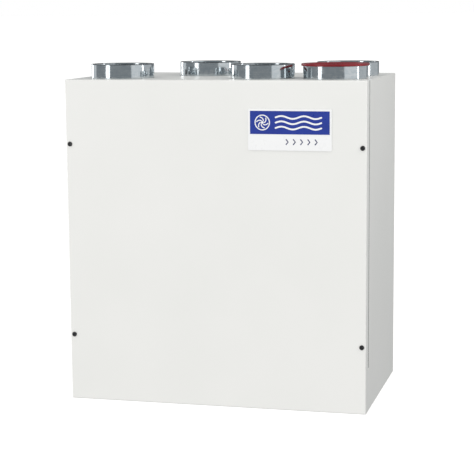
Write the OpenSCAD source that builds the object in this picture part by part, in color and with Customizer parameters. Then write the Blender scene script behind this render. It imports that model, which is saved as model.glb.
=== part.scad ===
// Wall-hung residential heat recovery unit with a rotary heat exchanger.
// Millimetres, +Z up, the door faces -Y, origin at the centre of the base under the casing.
// Air paths: extract (front left) -> upper filter -> rotor -> exhaust fan -> exhaust spigot;
// outdoor (rear right) -> riser -> lower filter -> rotor -> heater -> supply fan -> supply spigot.

/* [Casing] */
// Width of the casing
body_w = 598; // [596:1:604]
// Depth from the door's face to the back panel
body_d = 366; // [364:1:370]
// Height of the casing, without the spigots
body_h = 640; // [636:1:660]
// Thickness of the folded steel sheet
sheet = 1; // [0.8:0.1:1.2]
// Outer radius of the visible sheet bends
bend_r = 2.5; // [2:0.5:4]

/* [Door] */
// Thickness of the insulated door
door_t = 28; // [24:1:30]
// Shadow gap between the door and the casing
seal_gap = 3; // [2.5:0.5:4]
// Height of the lower door screws above the base
screw_low_z = 132; // [110:1:160]
// Height of the upper door screws above the base
screw_high_z = 514; // [480:1:540]

/* [Spigots] */
// Outside diameter of a duct spigot
spigot_d = 125; // [125]
// Height of a spigot above the top panel
spigot_h = 28; // [24:1:40]
// Spacing of the spigots across the unit
pitch_x = 144; // [142:1:145]
// Spacing of the two spigot rows
pitch_y = 140; // [136:1:142]

/* [Rotor] */
// Outside radius of the rotary exchanger
rotor_r = 143; // [138:1:143]
// Width of the exchanger matrix along its axis
rotor_w = 100; // [90:1:100]
// Radius of the belt seat on the motor pulley
pulley_r = 16; // [12:1:18]

/* [Fans] */
// Tip radius of a fan impeller
impeller_r = 72; // [66:1:73]
// Number of blades on an impeller
blade_count = 32; // [24:1:36]
// Inside radius of the first quarter of the volute
volute_r = 84; // [83:0.5:85]
// Growth of the volute radius at each quarter
volute_step = 11; // [9:0.5:11]

/* [Hidden] */
$fn = 64;

white_paint = "#ECECEA";
galvanised = "#9AA3A6";
foam_grey = "#3A3D40";

// casing planes
half_w = body_w / 2;
front_y = -body_d / 2;
back_y = body_d / 2;
door_back_y = front_y + door_t;
case_front_y = door_back_y + seal_gap;
side_wall = 12;                        // sheet and foam of a side
back_wall = 20;
end_wall = 25;                         // sheet and foam of the top and the base
in_x = half_w - side_wall;
in_back_y = back_y - back_wall;
in_low_z = end_wall;
in_high_z = body_h - end_wall;
mid_z = body_h / 2;
flange_w = 24;                         // front flange that the door gasket presses on
clear = 0.5;                           // assembly clearance of loose inner parts
hair = 0.2;                            // clearance of close parts

// door
screw_x = half_w - 8;
screw_r = 3;
nut_r = 4.5;                           // barrel of a rivet nut
screw_points = [for (x = [-screw_x, screw_x], z = [screw_low_z, screw_high_z]) [x, z]];
rest_h = 85;                           // height of the lower lip that closes the shadow gap

// name plate, as wide bands measured on the door
plate_lo = [70.5, 507.5];
plate_hi = [232.5, 586.5];
inlay_lo = [74.5, 538.5];
inlay_hi = [228.5, 582.5];
plate_t = 1.8;

// spigots: three in the front row and two in the rear row, on one pitch
spigot_r = spigot_d / 2;
spigot_wall = 0.8;
row_front_y = -86;
row_rear_y = row_front_y + pitch_y;
first_x = 5 - 1.5 * pitch_x;
extract_at = [first_x, row_front_y];
supply_at = [first_x + pitch_x, row_rear_y];
exhaust_at = [first_x + 2 * pitch_x, row_front_y];
kitchen_at = [first_x + 3 * pitch_x, row_front_y];
outdoor_at = [first_x + 3 * pitch_x, row_rear_y];
spigots_at = [extract_at, supply_at, exhaust_at, kitchen_at, outdoor_at];
spigot_hole_r = spigot_r + 0.3;
collar_r = 64.8;                       // hidden collar under the top panel
collar_z = body_h - sheet - 1.4;

// cable glands in a row behind the front left spigot
gland_points = [for (x = [-255, -228, -201]) [x, 12]];
gland_bore_r = 4.5;
gland_stub_r = 8;

// rotor cassette
cassette_x = 56;
cassette_half = (in_back_y - case_front_y) / 2 - clear;
rotor_y = (in_back_y + case_front_y) / 2;
duct_wall = 1.2;
shaft_r = 6;
hub_r = 24;
beam_x = rotor_w / 2 + 1;
beam_half_z = 12;
window_r = rotor_r - 5;                // air window in the cassette's faces
pulley_back = 124.5;                   // offset of the pulley from the rotor axis, in Y and in Z
pulley_at = [rotor_y - pulley_back, mid_z - pulley_back];
belt_x = -32;
belt_w = 6;
belt_t = 1.6;
belt_gap = 0.3;

// shelves and partitions
shelf_half_t = 5;
divider_x = [1, 9];
lower_divider_x = [-5, 5];

// fans, seen from the front with the outlet going up on the left
fan_depth = 76;
fan_wall = 1.6;
outlet_w = 80;
exhaust_fan_at = [175, 440];
exhaust_fan_back_y = -22;
exhaust_outlet_top = 76;
supply_fan_at = [-165, 150];
supply_fan_back_y = 142;
supply_outlet_top = mid_z - shelf_half_t - clear - supply_fan_at[1];
fan_shaft_r = 4;
running = 0.05;
inlet_r = 56;

// ducts
riser_lo = [-279.5, 64.5];
riser_hi = [-193.5, 143.5];
riser_top_z = 493;
outdoor_lo = [154, -11];
outdoor_hi = [in_x - clear, in_back_y - clear];

// cable passages through the control box and the left shelf
passage_y = -138;
rotor_cable_x = -122;
fan_cable_x = -112;
passage_r = 3.5;
fan_passage = [-38, 488];               // y and z of the passage to the right half
feed_passage = [-40, 596];              // y and z of the mains feed's passage

// filters
filter_x = [63, 107];
filter_y = [case_front_y + 4, in_back_y - 2];
filter_h = 138;
filter_wall = 3;
pleat_count = 20;
extract_filter_z = mid_z + shelf_half_t + 6;
outdoor_filter_z = mid_z - shelf_half_t - 6 - filter_h;

// ---------------------------------------------------------------- helpers

// a box from its lowest corner to its highest
module box(lo, hi) { translate(lo) cube(hi - lo); }

// mirrors the children to both sides of the unit
module both_sides() {
    for (side = [0, 1]) mirror([side, 0, 0]) children();
}

// a flat shape drawn as (y, z), standing at x and growing towards +X
module facing_x(x) { translate([x, 0, 0]) rotate([90, 0, 90]) children(); }

// a flat shape drawn as (x, z), standing at y and growing towards -Y
module facing_front(y) { translate([0, y, 0]) rotate([90, 0, 0]) children(); }

// a rectangle with its two corners at y = 0 rounded
module front_rounded(half, depth, r) {
    translate([-half, r]) square([2 * half, depth - r]);
    translate([-half + r, 0]) square([2 * half - 2 * r, depth]);
    for (side = [-1, 1]) translate([side * (half - r), r]) circle(r);
}

// a quarter of a bent strip, in the quadrant given by its signs
module bend(r, t, sx, sy) {
    intersection() {
        difference() { circle(r); circle(r - t); }
        translate([sx > 0 ? 0 : -r, sy > 0 ? 0 : -r]) square(r);
    }
}

// a round bar between two points
module bar(from, to, r) {
    v = to - from;
    len = norm(v);
    translate(from) rotate([0, acos(v[2] / len), atan2(v[1], v[0])]) cylinder(h = len, r = r);
}

// a cable clipped along a route, with a thicker elbow at each turn
module cable(route, r) {
    for (i = [0 : len(route) - 2]) bar(route[i], route[i + 1], r);
    for (i = [1 : len(route) - 2]) translate(route[i]) sphere(1.3 * r);
}

// a rectangular sheet tube: the space inside a box and its walls
module tube_shell(lo, hi, wall) {
    difference() {
        box(lo, hi);
        box([lo[0] + wall, lo[1] + wall, lo[2] - 1], [hi[0] - wall, hi[1] - wall, hi[2] + 1]);
    }
}

// ---------------------------------------------------------------- door

// solid of the door's folded tray, drawn in by an inset
module door_block(inset) {
    r = bend_r - inset;
    intersection() {
        translate([0, front_y + inset, inset])
            linear_extrude(body_h - 2 * inset) front_rounded(half_w - inset, door_t, r);
        translate([-half_w, front_y + inset, mid_z]) rotate([0, 90, 0])
            linear_extrude(body_w) front_rounded(mid_z - inset, door_t, r);
    }
}

module screw_holes(r) {
    for (p = screw_points)
        translate([p[0], case_front_y + 30, p[1]]) rotate([90, 0, 0]) cylinder(h = 80, r = r);
}

module door_skin() {
    color(white_paint) difference() {
        intersection() {
            door_block(0);
            box([-half_w, front_y, 0], [half_w, door_back_y, body_h]);
        }
        intersection() {
            door_block(sheet);
            box([-half_w, front_y, 0], [half_w, door_back_y + 1, body_h]);
        }
        screw_holes(screw_r + 0.3);
    }
}

module door_insulation() {
    inset = sheet + hair;
    color(foam_grey) difference() {
        box([-half_w + inset + 1, front_y + inset, inset + 1],
            [half_w - inset - 1, door_back_y - 1, body_h - inset - 1]);
        screw_holes(screw_r + 0.3);
    }
}

module door_inner_sheet() {
    inset = sheet + hair;
    color(galvanised) difference() {
        box([-half_w + inset, door_back_y - 0.8, inset], [half_w - inset, door_back_y, body_h - inset]);
        screw_holes(screw_r + 0.3);
    }
}

module door_gasket() {
    outer = half_w - 14;
    width = 9;
    color("#1B1C1D") difference() {
        box([-outer, door_back_y, 14], [outer, case_front_y - hair, body_h - 14]);
        box([-outer + width, door_back_y - 1, 14 + width],
            [outer - width, case_front_y + 1, body_h - 14 - width]);
    }
}

module door_screws() {
    head_r = 4.7;
    head_t = 2.6;
    color("#222426") for (p = screw_points) translate([p[0], front_y, p[1]]) rotate([90, 0, 0])
        difference() {
            union() {
                translate([0, 0, -45]) cylinder(h = 45, r = screw_r);
                cylinder(h = head_t - 1, r = head_r);
                translate([0, 0, head_t - 1]) cylinder(h = 1, r1 = head_r, r2 = head_r - 1.2);
            }
            translate([0, 0, head_t - 1.8]) cylinder(h = 2, r = 2.3, $fn = 6);
        }
}

module name_plate() {
    r = 2.5;
    color("#FAFAFA") facing_front(front_y) linear_extrude(plate_t) union() {
        translate(plate_lo + [r, 0]) square(plate_hi - plate_lo - [2 * r, 0]);
        translate(plate_lo + [0, r]) square(plate_hi - plate_lo - [0, 2 * r]);
        for (x = [plate_lo[0] + r, plate_hi[0] - r], z = [plate_lo[1] + r, plate_hi[1] - r])
            translate([x, z]) circle(r);
    }
}

module name_plate_inlay() {
    color("#23409A") facing_front(front_y - plate_t) linear_extrude(0.3)
        translate(inlay_lo) square(inlay_hi - inlay_lo);
}

// ---------------------------------------------------------------- casing

// folded side sheet: a channel with its two bends, and the lip under the door's lower corner
module side_panel_right_shape() {
    x = half_w;
    r = bend_r;
    difference() {
        union() {
            linear_extrude(body_h) {
                translate([x - sheet, case_front_y + r]) square([sheet, back_y - case_front_y - 2 * r]);
                translate([x - r, case_front_y + r]) bend(r, sheet, 1, -1);
                translate([x - r, back_y - r]) bend(r, sheet, 1, 1);
                translate([x - flange_w, case_front_y]) square([flange_w - r, sheet]);
                translate([x - flange_w, back_y - sheet]) square([flange_w - r, sheet]);
            }
            box([x - sheet, door_back_y + 0.3, 0], [x, case_front_y + r + 0.1, rest_h]);
        }
        screw_holes(nut_r + 0.1);
    }
}

module side_panel_left() { color(white_paint) mirror([1, 0, 0]) side_panel_right_shape(); }

module side_panel_right() { color(white_paint) side_panel_right_shape(); }

module back_panel() {
    x = half_w - flange_w - hair;
    color(white_paint) box([-x, back_y - sheet, 0], [x, back_y, body_h]);
}

module top_panel() {
    x = half_w - sheet - hair;
    top_back_y = back_y - sheet - hair;
    flange_x = half_w - flange_w - hair;
    color(white_paint) difference() {
        union() {
            box([-x, case_front_y + bend_r + hair, body_h - sheet], [x, back_y - bend_r - hair, body_h]);
            box([-flange_x, case_front_y, body_h - sheet], [flange_x, top_back_y, body_h]);
            box([-flange_x, case_front_y, in_high_z + 1], [flange_x, case_front_y + sheet, body_h]);
        }
        for (p = spigots_at) translate([p[0], p[1], body_h - 5]) cylinder(h = 10, r = spigot_hole_r);
        for (p = gland_points)
            translate([p[0], p[1], body_h - 5]) cylinder(h = 10, r = gland_stub_r + hair);
    }
}

module bottom_panel() {
    x = half_w - sheet - hair;
    flange_x = half_w - flange_w - hair;
    color(white_paint) union() {
        box([-x, case_front_y + bend_r + hair, 0], [x, back_y - bend_r - hair, sheet]);
        box([-flange_x, case_front_y, 0], [flange_x, back_y - sheet - hair, sheet]);
        box([-flange_x, case_front_y, 0], [flange_x, case_front_y + sheet, in_low_z - 1]);
    }
}

// five slabs: two sides, back, base and the top with its spigot and gland holes
module casing_insulation() {
    front = case_front_y + sheet + hair;
    back = back_y - sheet - hair;
    z0 = sheet + hair;
    z1 = body_h - sheet - hair;
    x_out = half_w - sheet - hair;
    inner = in_x - hair;
    color(foam_grey) {
        difference() {
            union() {
                box([in_x, front + 3, z0], [x_out, back - bend_r, z1]);
                box([-x_out, front + 3, z0], [-in_x, back - bend_r, z1]);
            }
            screw_holes(nut_r + clear);
        }
        box([-inner, in_back_y, in_low_z + hair], [inner, back, in_high_z - hair]);
        box([-inner, front, z0], [inner, back, in_low_z]);
        difference() {
            box([-inner, front, in_high_z], [inner, back, z1]);
            for (p = spigots_at) translate([p[0], p[1], 0]) {
                translate([0, 0, in_high_z - 1]) cylinder(h = end_wall, r = spigot_hole_r);
                translate([0, 0, collar_z - hair]) cylinder(h = 5, r = collar_r + hair);
            }
            for (p = gland_points)
                translate([p[0], p[1], in_high_z - 1]) cylinder(h = end_wall, r = gland_stub_r + hair);
        }
    }
}

module rivet_nuts() {
    color("#B8BCBE") for (p = screw_points)
        translate([p[0], case_front_y, p[1]]) rotate([90, 0, 0]) difference() {
            union() {
                translate([0, 0, -16]) cylinder(h = 16, r = nut_r);
                cylinder(h = 0.8, r = nut_r + 1);
            }
            translate([0, 0, -20]) cylinder(h = 30, r = screw_r + 0.3);
        }
}

module cable_glands() {
    color("#2A2C2E") for (p = gland_points) translate([p[0], p[1], 0]) difference() {
        union() {
            translate([0, 0, in_high_z - 3]) cylinder(h = end_wall + 3, r = gland_stub_r);
            translate([0, 0, in_high_z - 3 - hair]) cylinder(h = 3, r = 11, $fn = 6);
            translate([0, 0, body_h]) cylinder(h = 4, r = 12, $fn = 6);
            translate([0, 0, body_h + 4]) cylinder(h = 8, r = 10);
            translate([0, 0, body_h + 12]) cylinder(h = 4, r1 = 10, r2 = 7.5);
        }
        translate([0, 0, in_high_z - 10]) cylinder(h = 80, r = gland_bore_r);
    }
}

// ---------------------------------------------------------------- spigots

// a sheet tube with an inward hem at its rim, and a narrower neck with a collar under the top panel
module spigot(at) {
    rim_z = body_h + spigot_h;
    tube_z = body_h + 0.3;
    inner_r = spigot_r - spigot_wall;
    neck_r = spigot_r - 0.75;
    color(galvanised) translate([at[0], at[1], 0]) difference() {
        union() {
            translate([0, 0, tube_z]) cylinder(h = rim_z - tube_z, r = spigot_r);
            translate([0, 0, in_high_z + hair]) cylinder(h = tube_z - in_high_z, r = neck_r);
            translate([0, 0, collar_z]) cylinder(h = 1.2, r = collar_r);
        }
        translate([0, 0, in_high_z - 1]) cylinder(h = rim_z - in_high_z - 2, r = neck_r - spigot_wall);
        translate([0, 0, tube_z + 0.8]) cylinder(h = rim_z - tube_z - 3.8, r = inner_r);
        translate([0, 0, rim_z - 4]) cylinder(h = 5, r = inner_r - 0.7);
    }
}

module spigot_extract() spigot(extract_at);
module spigot_supply() spigot(supply_at);
module spigot_exhaust() spigot(exhaust_at);
module spigot_kitchen() spigot(kitchen_at);
module spigot_outdoor() spigot(outdoor_at);

// push-in cap of the unused kitchen spigot: a rim over the spigot's edge, a plug inside it,
// and a grip bar across the recess
module spigot_cap() {
    cap_r = spigot_r + 3.6;
    top_t = 1.4;
    skirt = 3.2;
    recess = 1.6;
    chamfer = 0.6;
    groove_r = spigot_r + 0.3;
    plug_r = spigot_r - spigot_wall - 1.2;
    plug_t = 1.8;
    plug_h = 18;
    floor_z = top_t - recess - 2;
    color("#C8202E") translate([kitchen_at[0], kitchen_at[1], body_h + spigot_h]) difference() {
        rotate_extrude()
            polygon([[0, floor_z], [plug_r - plug_t, floor_z], [plug_r - plug_t, -plug_h], [plug_r, -plug_h],
                     [plug_r, hair], [groove_r, hair], [groove_r, -skirt], [cap_r, -skirt],
                     [cap_r, top_t - chamfer], [cap_r - chamfer, top_t], [0, top_t]]);
        difference() {
            translate([0, 0, top_t - recess]) cylinder(h = 3, r = cap_r - 14);
            box([-cap_r, -5, -5], [cap_r, 5, top_t + 2]);
        }
    }
}

// ---------------------------------------------------------------- partitions

module middle_shelves() {
    lo_z = mid_z - shelf_half_t;
    hi_z = mid_z + shelf_half_t;
    back = in_back_y - hair;
    inner_front = case_front_y + sheet + hair;
    color(foam_grey) {
        difference() {
            box([-in_x + hair, inner_front, lo_z], [-cassette_x - hair, back, hi_z]);
            box([riser_lo[0] - hair, riser_lo[1] - hair, lo_z - 1],
                [riser_hi[0] + hair, riser_hi[1] + hair, hi_z + 1]);
            for (x = [rotor_cable_x, fan_cable_x])
                translate([x, passage_y, lo_z - 1]) cylinder(h = 20, r = passage_r);
        }
        difference() {
            box([cassette_x + hair, inner_front, lo_z], [in_x - hair, back, hi_z]);
            box([outdoor_lo[0] - hair, outdoor_lo[1] - hair, lo_z - 1], [in_x + 1, back + 1, hi_z + 1]);
        }
    }
}

module center_partitions() {
    back = in_back_y - hair;
    cassette_top = mid_z + cassette_half;
    cassette_low = mid_z - cassette_half;
    color(foam_grey) {
        difference() {
            box([divider_x[0], case_front_y, cassette_top + hair], [divider_x[1], back, in_high_z - hair]);
            translate([divider_x[0] - 5, -12, fan_passage[1]]) rotate([0, 90, 0])
                cylinder(h = 30, r = passage_r);
        }
        box([lower_divider_x[0], case_front_y, in_low_z + hair],
            [lower_divider_x[1], back, cassette_low - hair]);
    }
}

// soft strips on the front edges of the dividers, which the closed door presses on
module divider_gaskets() {
    y0 = door_back_y + hair;
    y1 = case_front_y - hair;
    edge = half_w - flange_w;
    top = mid_z + cassette_half;
    low = mid_z - cassette_half;
    strip = 8;
    color("#26282A") union() {
        difference() {
            box([-cassette_x, y0, low], [cassette_x, y1, top]);
            box([-cassette_x + strip, y0 - 1, low + strip], [cassette_x - strip, y1 + 1, top - strip]);
        }
        box([-edge, y0, mid_z - shelf_half_t], [-cassette_x, y1, mid_z + shelf_half_t]);
        box([cassette_x, y0, mid_z - shelf_half_t], [edge, y1, mid_z + shelf_half_t]);
        box([divider_x[0], y0, top], [divider_x[1], y1, in_high_z]);
        box([lower_divider_x[0], y0, in_low_z], [lower_divider_x[1], y1, low]);
    }
}

// ---------------------------------------------------------------- rotor

module rotor_cassette() {
    y0 = rotor_y - cassette_half;
    y1 = rotor_y + cassette_half;
    z0 = mid_z - cassette_half;
    z1 = mid_z + cassette_half;
    w = duct_wall;
    color(galvanised) difference() {
        box([-cassette_x, y0, z0], [cassette_x, y1, z1]);
        box([-cassette_x + w, y0 + w, z0 + w], [cassette_x - w, y1 - w, z1 - w]);
        translate([-cassette_x - 1, rotor_y, mid_z]) rotate([0, 90, 0])
            cylinder(h = 2 * cassette_x + 2, r = window_r);
        // inspection window in the front face
        box([-cassette_x + 14, y0 - 1, z0 + 24], [cassette_x - 14, y0 + w + 1, z1 - 24]);
        // passage of the motor shaft
        translate([-cassette_x - 1, pulley_at[0], pulley_at[1]]) rotate([0, 90, 0]) cylinder(h = 5, r = 6);
    }
}

module rotor_beams() {
    reach = rotor_r - hair;
    thick = cassette_x - duct_wall - hair - beam_x;
    color("#8C9498") both_sides() difference() {
        union() {
            box([beam_x, rotor_y - reach, mid_z - beam_half_z],
                [beam_x + thick, rotor_y + reach, mid_z + beam_half_z]);
            translate([beam_x, rotor_y, mid_z]) rotate([0, 90, 0]) cylinder(h = thick, r = 20);
        }
        translate([beam_x - 1, rotor_y, mid_z]) rotate([0, 90, 0]) cylinder(h = 10, r = shaft_r + 0.02);
    }
}

// anything of the rotor: drawn along +Z about the rotor's axis, centred on the wheel
module on_rotor_axis() { translate([0, rotor_y, mid_z]) rotate([0, 90, 0]) children(); }

module rotor_shaft() {
    half = cassette_x - duct_wall - hair;
    color("#C9CDD0") on_rotor_axis() cylinder(h = 2 * half, r = shaft_r, center = true);
}

// hub with its two ball bearings' outer races proud of its ends
module rotor_hub() {
    color("#B4B8BA") on_rotor_axis() difference() {
        union() {
            cylinder(h = rotor_w, r = hub_r - 0.1, center = true);
            cylinder(h = rotor_w + 0.8, r = 13, center = true);
        }
        cylinder(h = rotor_w + 4, r = shaft_r + running, center = true);
    }
}

module rotor_matrix() {
    color("#C4CACC") on_rotor_axis() difference() {
        cylinder(h = rotor_w - 1, r = rotor_r - 1.1, center = true);
        cylinder(h = rotor_w + 2, r = hub_r, center = true);
    }
}

module rotor_rim() {
    color(galvanised) on_rotor_axis() difference() {
        cylinder(h = rotor_w, r = rotor_r, center = true);
        cylinder(h = rotor_w + 2, r = rotor_r - 1, center = true);
    }
}

module rotor_seals() {
    x0 = rotor_w / 2 + hair;
    thick = cassette_x - duct_wall - hair - x0;
    color("#202224") both_sides() translate([x0, rotor_y, mid_z]) rotate([0, 90, 0]) difference() {
        cylinder(h = thick, r = rotor_r + 7);
        translate([0, 0, -1]) cylinder(h = thick + 2, r = rotor_r + 0.6);
    }
}

// outline round both wheels of the belt drive: two circles and their outer tangents
module belt_outline(big, small) {
    d = pulley_back * sqrt(2);
    a = acos((big - small) / d);
    rotate(225) union() {
        circle(big, $fn = 128);
        translate([d, 0]) circle(small);
        polygon([[big * cos(a), big * sin(a)], [d + small * cos(a), small * sin(a)],
                 [d + small * cos(a), -small * sin(a)], [big * cos(a), -big * sin(a)]]);
    }
}

module drive_belt() {
    color("#7A3B12") facing_x(belt_x) translate([rotor_y, mid_z]) linear_extrude(belt_w) difference() {
        belt_outline(rotor_r + belt_gap + belt_t, pulley_r + belt_gap + belt_t);
        belt_outline(rotor_r + belt_gap, pulley_r + belt_gap);
    }
}

// gear motor on the left face of the cassette
module drive_motor() {
    face_x = -cassette_x - hair;
    color("#4A4F52") translate([0, pulley_at[0], pulley_at[1]]) difference() {
        union() {
            box([face_x - 22, -27, -27], [face_x, 27, 27]);
            translate([face_x - 58, 0, 0]) rotate([0, 90, 0]) cylinder(h = 37, r = 25);
            translate([face_x - 62, 0, 0]) rotate([0, 90, 0]) cylinder(h = 5, r = 9);
            box([face_x - 50, -8, 20], [face_x - 30, 8, 30]);
        }
        translate([face_x - 16, 0, 0]) rotate([0, 90, 0]) cylinder(h = 20, r = 3 + running);
    }
}

module motor_pulley() {
    flange_r = pulley_r + 4;
    x0 = belt_x - 2;
    color("#D8D8D2") translate([0, pulley_at[0], pulley_at[1]]) {
        translate([x0, 0, 0]) rotate([0, 90, 0]) union() {
            cylinder(h = belt_w + 4, r = pulley_r);
            cylinder(h = 1.6, r = flange_r);
            translate([0, 0, belt_w + 2.4]) cylinder(h = 1.6, r = flange_r);
            translate([0, 0, -38]) cylinder(h = 40, r = 3);
            translate([0, 0, -12]) cylinder(h = 13, r = 8);
        }
    }
}

// ---------------------------------------------------------------- fans

// inside of the volute: three quarter circles on a four-centre spiral, the core and the outlet,
// grown by a wall; seen from the front, the air turns clockwise and leaves upwards on the left
module volute(grow, outlet_top) {
    a = volute_step;
    r1 = volute_r + grow;
    left = -(volute_r + 2.5 * a) - grow;
    centers = [[a / 2, -a / 2], [-a / 2, -a / 2], [-a / 2, a / 2]];
    quadrants = [[0, 0], [0, -1], [-1, -1]];
    union() {
        circle(volute_r - a / 2 + grow);
        for (k = [0 : 2]) translate(centers[k]) intersection() {
            circle(r1 + k * a);
            translate(quadrants[k] * 300) square(300);
        }
        translate([-a / 2 - 1, -a / 2 - 1]) square([a + 2, r1 - a / 2]);
        translate([left, a / 2]) square([outlet_w + 2 * grow, outlet_top - a / 2]);
        translate([-a, -a]) square(2 * a);
    }
}

module fan_scroll(at, back, outlet_top) {
    inner_depth = fan_depth - 4;
    color(galvanised) translate([at[0], 0, at[1]]) difference() {
        facing_front(back) linear_extrude(fan_depth) volute(fan_wall, outlet_top);
        facing_front(back - 2) linear_extrude(inner_depth) volute(0, outlet_top + 1);
        facing_front(back - fan_depth + 3) linear_extrude(5) circle(inlet_r + 10.5);
        facing_front(back + 1) linear_extrude(5) circle(14);
    }
}

// bell mouth: a flange, a quarter-round lip and a short throat
module fan_inlet_ring(at, back) {
    lip = 10;
    t = 1.5;
    color("#2B2E31") translate([at[0], back - fan_depth - hair, at[1]]) rotate([90, 0, 0])
        rotate_extrude($fn = 96) {
            translate([inlet_r + lip, 0]) square([12, t]);
            translate([inlet_r + lip, t - lip]) intersection() {
                difference() { circle(lip); circle(lip - t); }
                translate([-lip, 0]) square([lip, lip]);
            }
            translate([inlet_r, -lip - 3]) square([t, 4.6]);
        }
}

// curved blade between two radii, as a thin closed outline
function blade_edge(shift) = [for (i = [0 : 5]) let (s = i / 5, r = impeller_r - 12 + 11.6 * s,
    a = shift + 9 * s * s) [r * cos(a), r * sin(a)]];
function blade_outline() = let (front = blade_edge(0), back = blade_edge(0.9))
    concat(front, [for (i = [5 : -1 : 0]) back[i]]);

// wheel with its motor bell: back disc, blades and front ring, turning on the motor's pin
module fan_impeller(at, back) {
    disc_t = 2;
    blade_l = fan_depth - 20;
    color("#3B3F43") translate([at[0], back - 7, at[1]]) rotate([90, 0, 0]) difference() {
        union() {
            cylinder(h = disc_t, r = impeller_r);
            cylinder(h = 34, r = 34);
            translate([0, 0, 34]) cylinder(h = 4, r1 = 34, r2 = 30);
            for (i = [0 : blade_count - 1]) rotate(i * 360 / blade_count)
                translate([0, 0, disc_t / 2]) linear_extrude(blade_l) polygon(blade_outline());
            translate([0, 0, disc_t / 2 + blade_l - 3]) difference() {
                cylinder(h = 3, r = impeller_r);
                translate([0, 0, -1]) cylinder(h = 5, r = impeller_r - 12);
            }
        }
        translate([0, 0, -1]) cylinder(h = 30, r = fan_shaft_r + running);
    }
}

// fixed part of the fan motor: flange behind the scroll, boss and pin
module fan_motor(at, back) {
    color("#55595C") translate([at[0], back + 5 + hair, at[1]]) rotate([90, 0, 0]) union() {
        cylinder(h = 5, r = 44);
        cylinder(h = 11, r = 13);
        cylinder(h = 38, r = fan_shaft_r);
        for (a = [45 : 90 : 315]) rotate(a) translate([37, 0, -1.5]) cylinder(h = 2, r = 3.5);
    }
}

module exhaust_fan_scroll() fan_scroll(exhaust_fan_at, exhaust_fan_back_y, exhaust_outlet_top);
module exhaust_fan_inlet_ring() fan_inlet_ring(exhaust_fan_at, exhaust_fan_back_y);
module exhaust_fan_impeller() fan_impeller(exhaust_fan_at, exhaust_fan_back_y);
module exhaust_fan_motor() fan_motor(exhaust_fan_at, exhaust_fan_back_y);
module supply_fan_scroll() fan_scroll(supply_fan_at, supply_fan_back_y, supply_outlet_top);
module supply_fan_inlet_ring() fan_inlet_ring(supply_fan_at, supply_fan_back_y);
module supply_fan_impeller() fan_impeller(supply_fan_at, supply_fan_back_y);
module supply_fan_motor() fan_motor(supply_fan_at, supply_fan_back_y);

// ---------------------------------------------------------------- ducts

module spigot_passage(at) {
    translate([at[0], at[1], in_high_z - 8]) cylinder(h = 20, r = spigot_r - 0.5);
}

// plenum from the exhaust fan's outlet to its spigot
module exhaust_duct() {
    w = duct_wall;
    lo = [12, case_front_y + 3, exhaust_fan_at[1] + exhaust_outlet_top + clear];
    hi = [146, -18, in_high_z - clear];
    left = exhaust_fan_at[0] - volute_r - 2.5 * volute_step;
    color(galvanised) difference() {
        box(lo, hi);
        box(lo + [w, w, w], hi - [w, w, w]);
        box([left, exhaust_fan_back_y - fan_depth + 2, lo[2] - 1],
            [left + outlet_w, exhaust_fan_back_y - 2, lo[2] + 5]);
        spigot_passage(exhaust_at);
    }
}

// riser from the supply fan and the plenum under the top that leads to the supply spigot
module supply_duct() {
    w = duct_wall;
    top = in_high_z - clear;
    low = mid_z - shelf_half_t + hair;
    right = divider_x[0] - 2;
    plenum_lo = [-in_x + clear, 48, riser_top_z];
    plenum_hi = [right, in_back_y - clear, top];
    mouth_lo = [-136, -14, riser_top_z];
    color(galvanised) difference() {
        union() {
            box([riser_lo[0], riser_lo[1], low], [riser_hi[0], riser_hi[1], riser_top_z + w]);
            box(plenum_lo, plenum_hi);
            box(mouth_lo, plenum_hi);
        }
        box([riser_lo[0] + w, riser_lo[1] + w, low - 1], [riser_hi[0] - w, riser_hi[1] - w, riser_top_z + 5]);
        box(plenum_lo + [w, w, w], plenum_hi - [w, w, w]);
        box(mouth_lo + [w, w, w], plenum_hi - [w, w, w]);
        spigot_passage(supply_at);
    }
}

// riser from the outdoor spigot down past the exhaust fan to the lower right chamber
module outdoor_duct() {
    color(galvanised) tube_shell([outdoor_lo[0], outdoor_lo[1], mid_z - shelf_half_t + hair],
                                 [outdoor_hi[0], outdoor_hi[1], in_high_z - clear], duct_wall);
}

// ---------------------------------------------------------------- filters

module filter_frame(z) {
    w = filter_wall;
    color("#E6E2D4") union() {
        difference() {
            box([filter_x[0], filter_y[0], z], [filter_x[1], filter_y[1], z + filter_h]);
            box([filter_x[0] - 1, filter_y[0] + w, z + w],
                [filter_x[1] + 1, filter_y[1] - w, z + filter_h - w]);
        }
        // pull loop on the front end
        difference() {
            box([filter_x[0] + 12, filter_y[0] - 2, z + 46],
                [filter_x[1] - 12, filter_y[0], z + filter_h - 46]);
            box([filter_x[0] + 17, filter_y[0] - 1.2, z + 45],
                [filter_x[1] - 17, filter_y[0], z + filter_h - 45]);
        }
    }
}

// pleated sheet, drawn as a zigzag outline whose two sides are a shift apart
module filter_media(z) {
    y0 = filter_y[0] + filter_wall + hair;
    y1 = filter_y[1] - filter_wall - hair;
    shift = 8;
    ends = [filter_x[0] + 2, filter_x[1] - 2 - shift];
    step = (y1 - y0) / (2 * pleat_count);
    zig = [for (i = [0 : 2 * pleat_count]) [ends[i % 2], y0 + i * step]];
    outline = concat(zig, [for (i = [2 * pleat_count : -1 : 0]) zig[i] + [shift, 0]]);
    color("#F2F2EE") translate([0, 0, z + filter_wall + hair])
        linear_extrude(filter_h - 2 * filter_wall - 2 * hair) polygon(outline);
}

// the extract filter stands left of the rotor and the outdoor filter right of it
module extract_filter_frame() mirror([1, 0, 0]) filter_frame(extract_filter_z);
module extract_filter_media() mirror([1, 0, 0]) filter_media(extract_filter_z);
module outdoor_filter_frame() filter_frame(outdoor_filter_z);
module outdoor_filter_media() filter_media(outdoor_filter_z);

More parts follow.
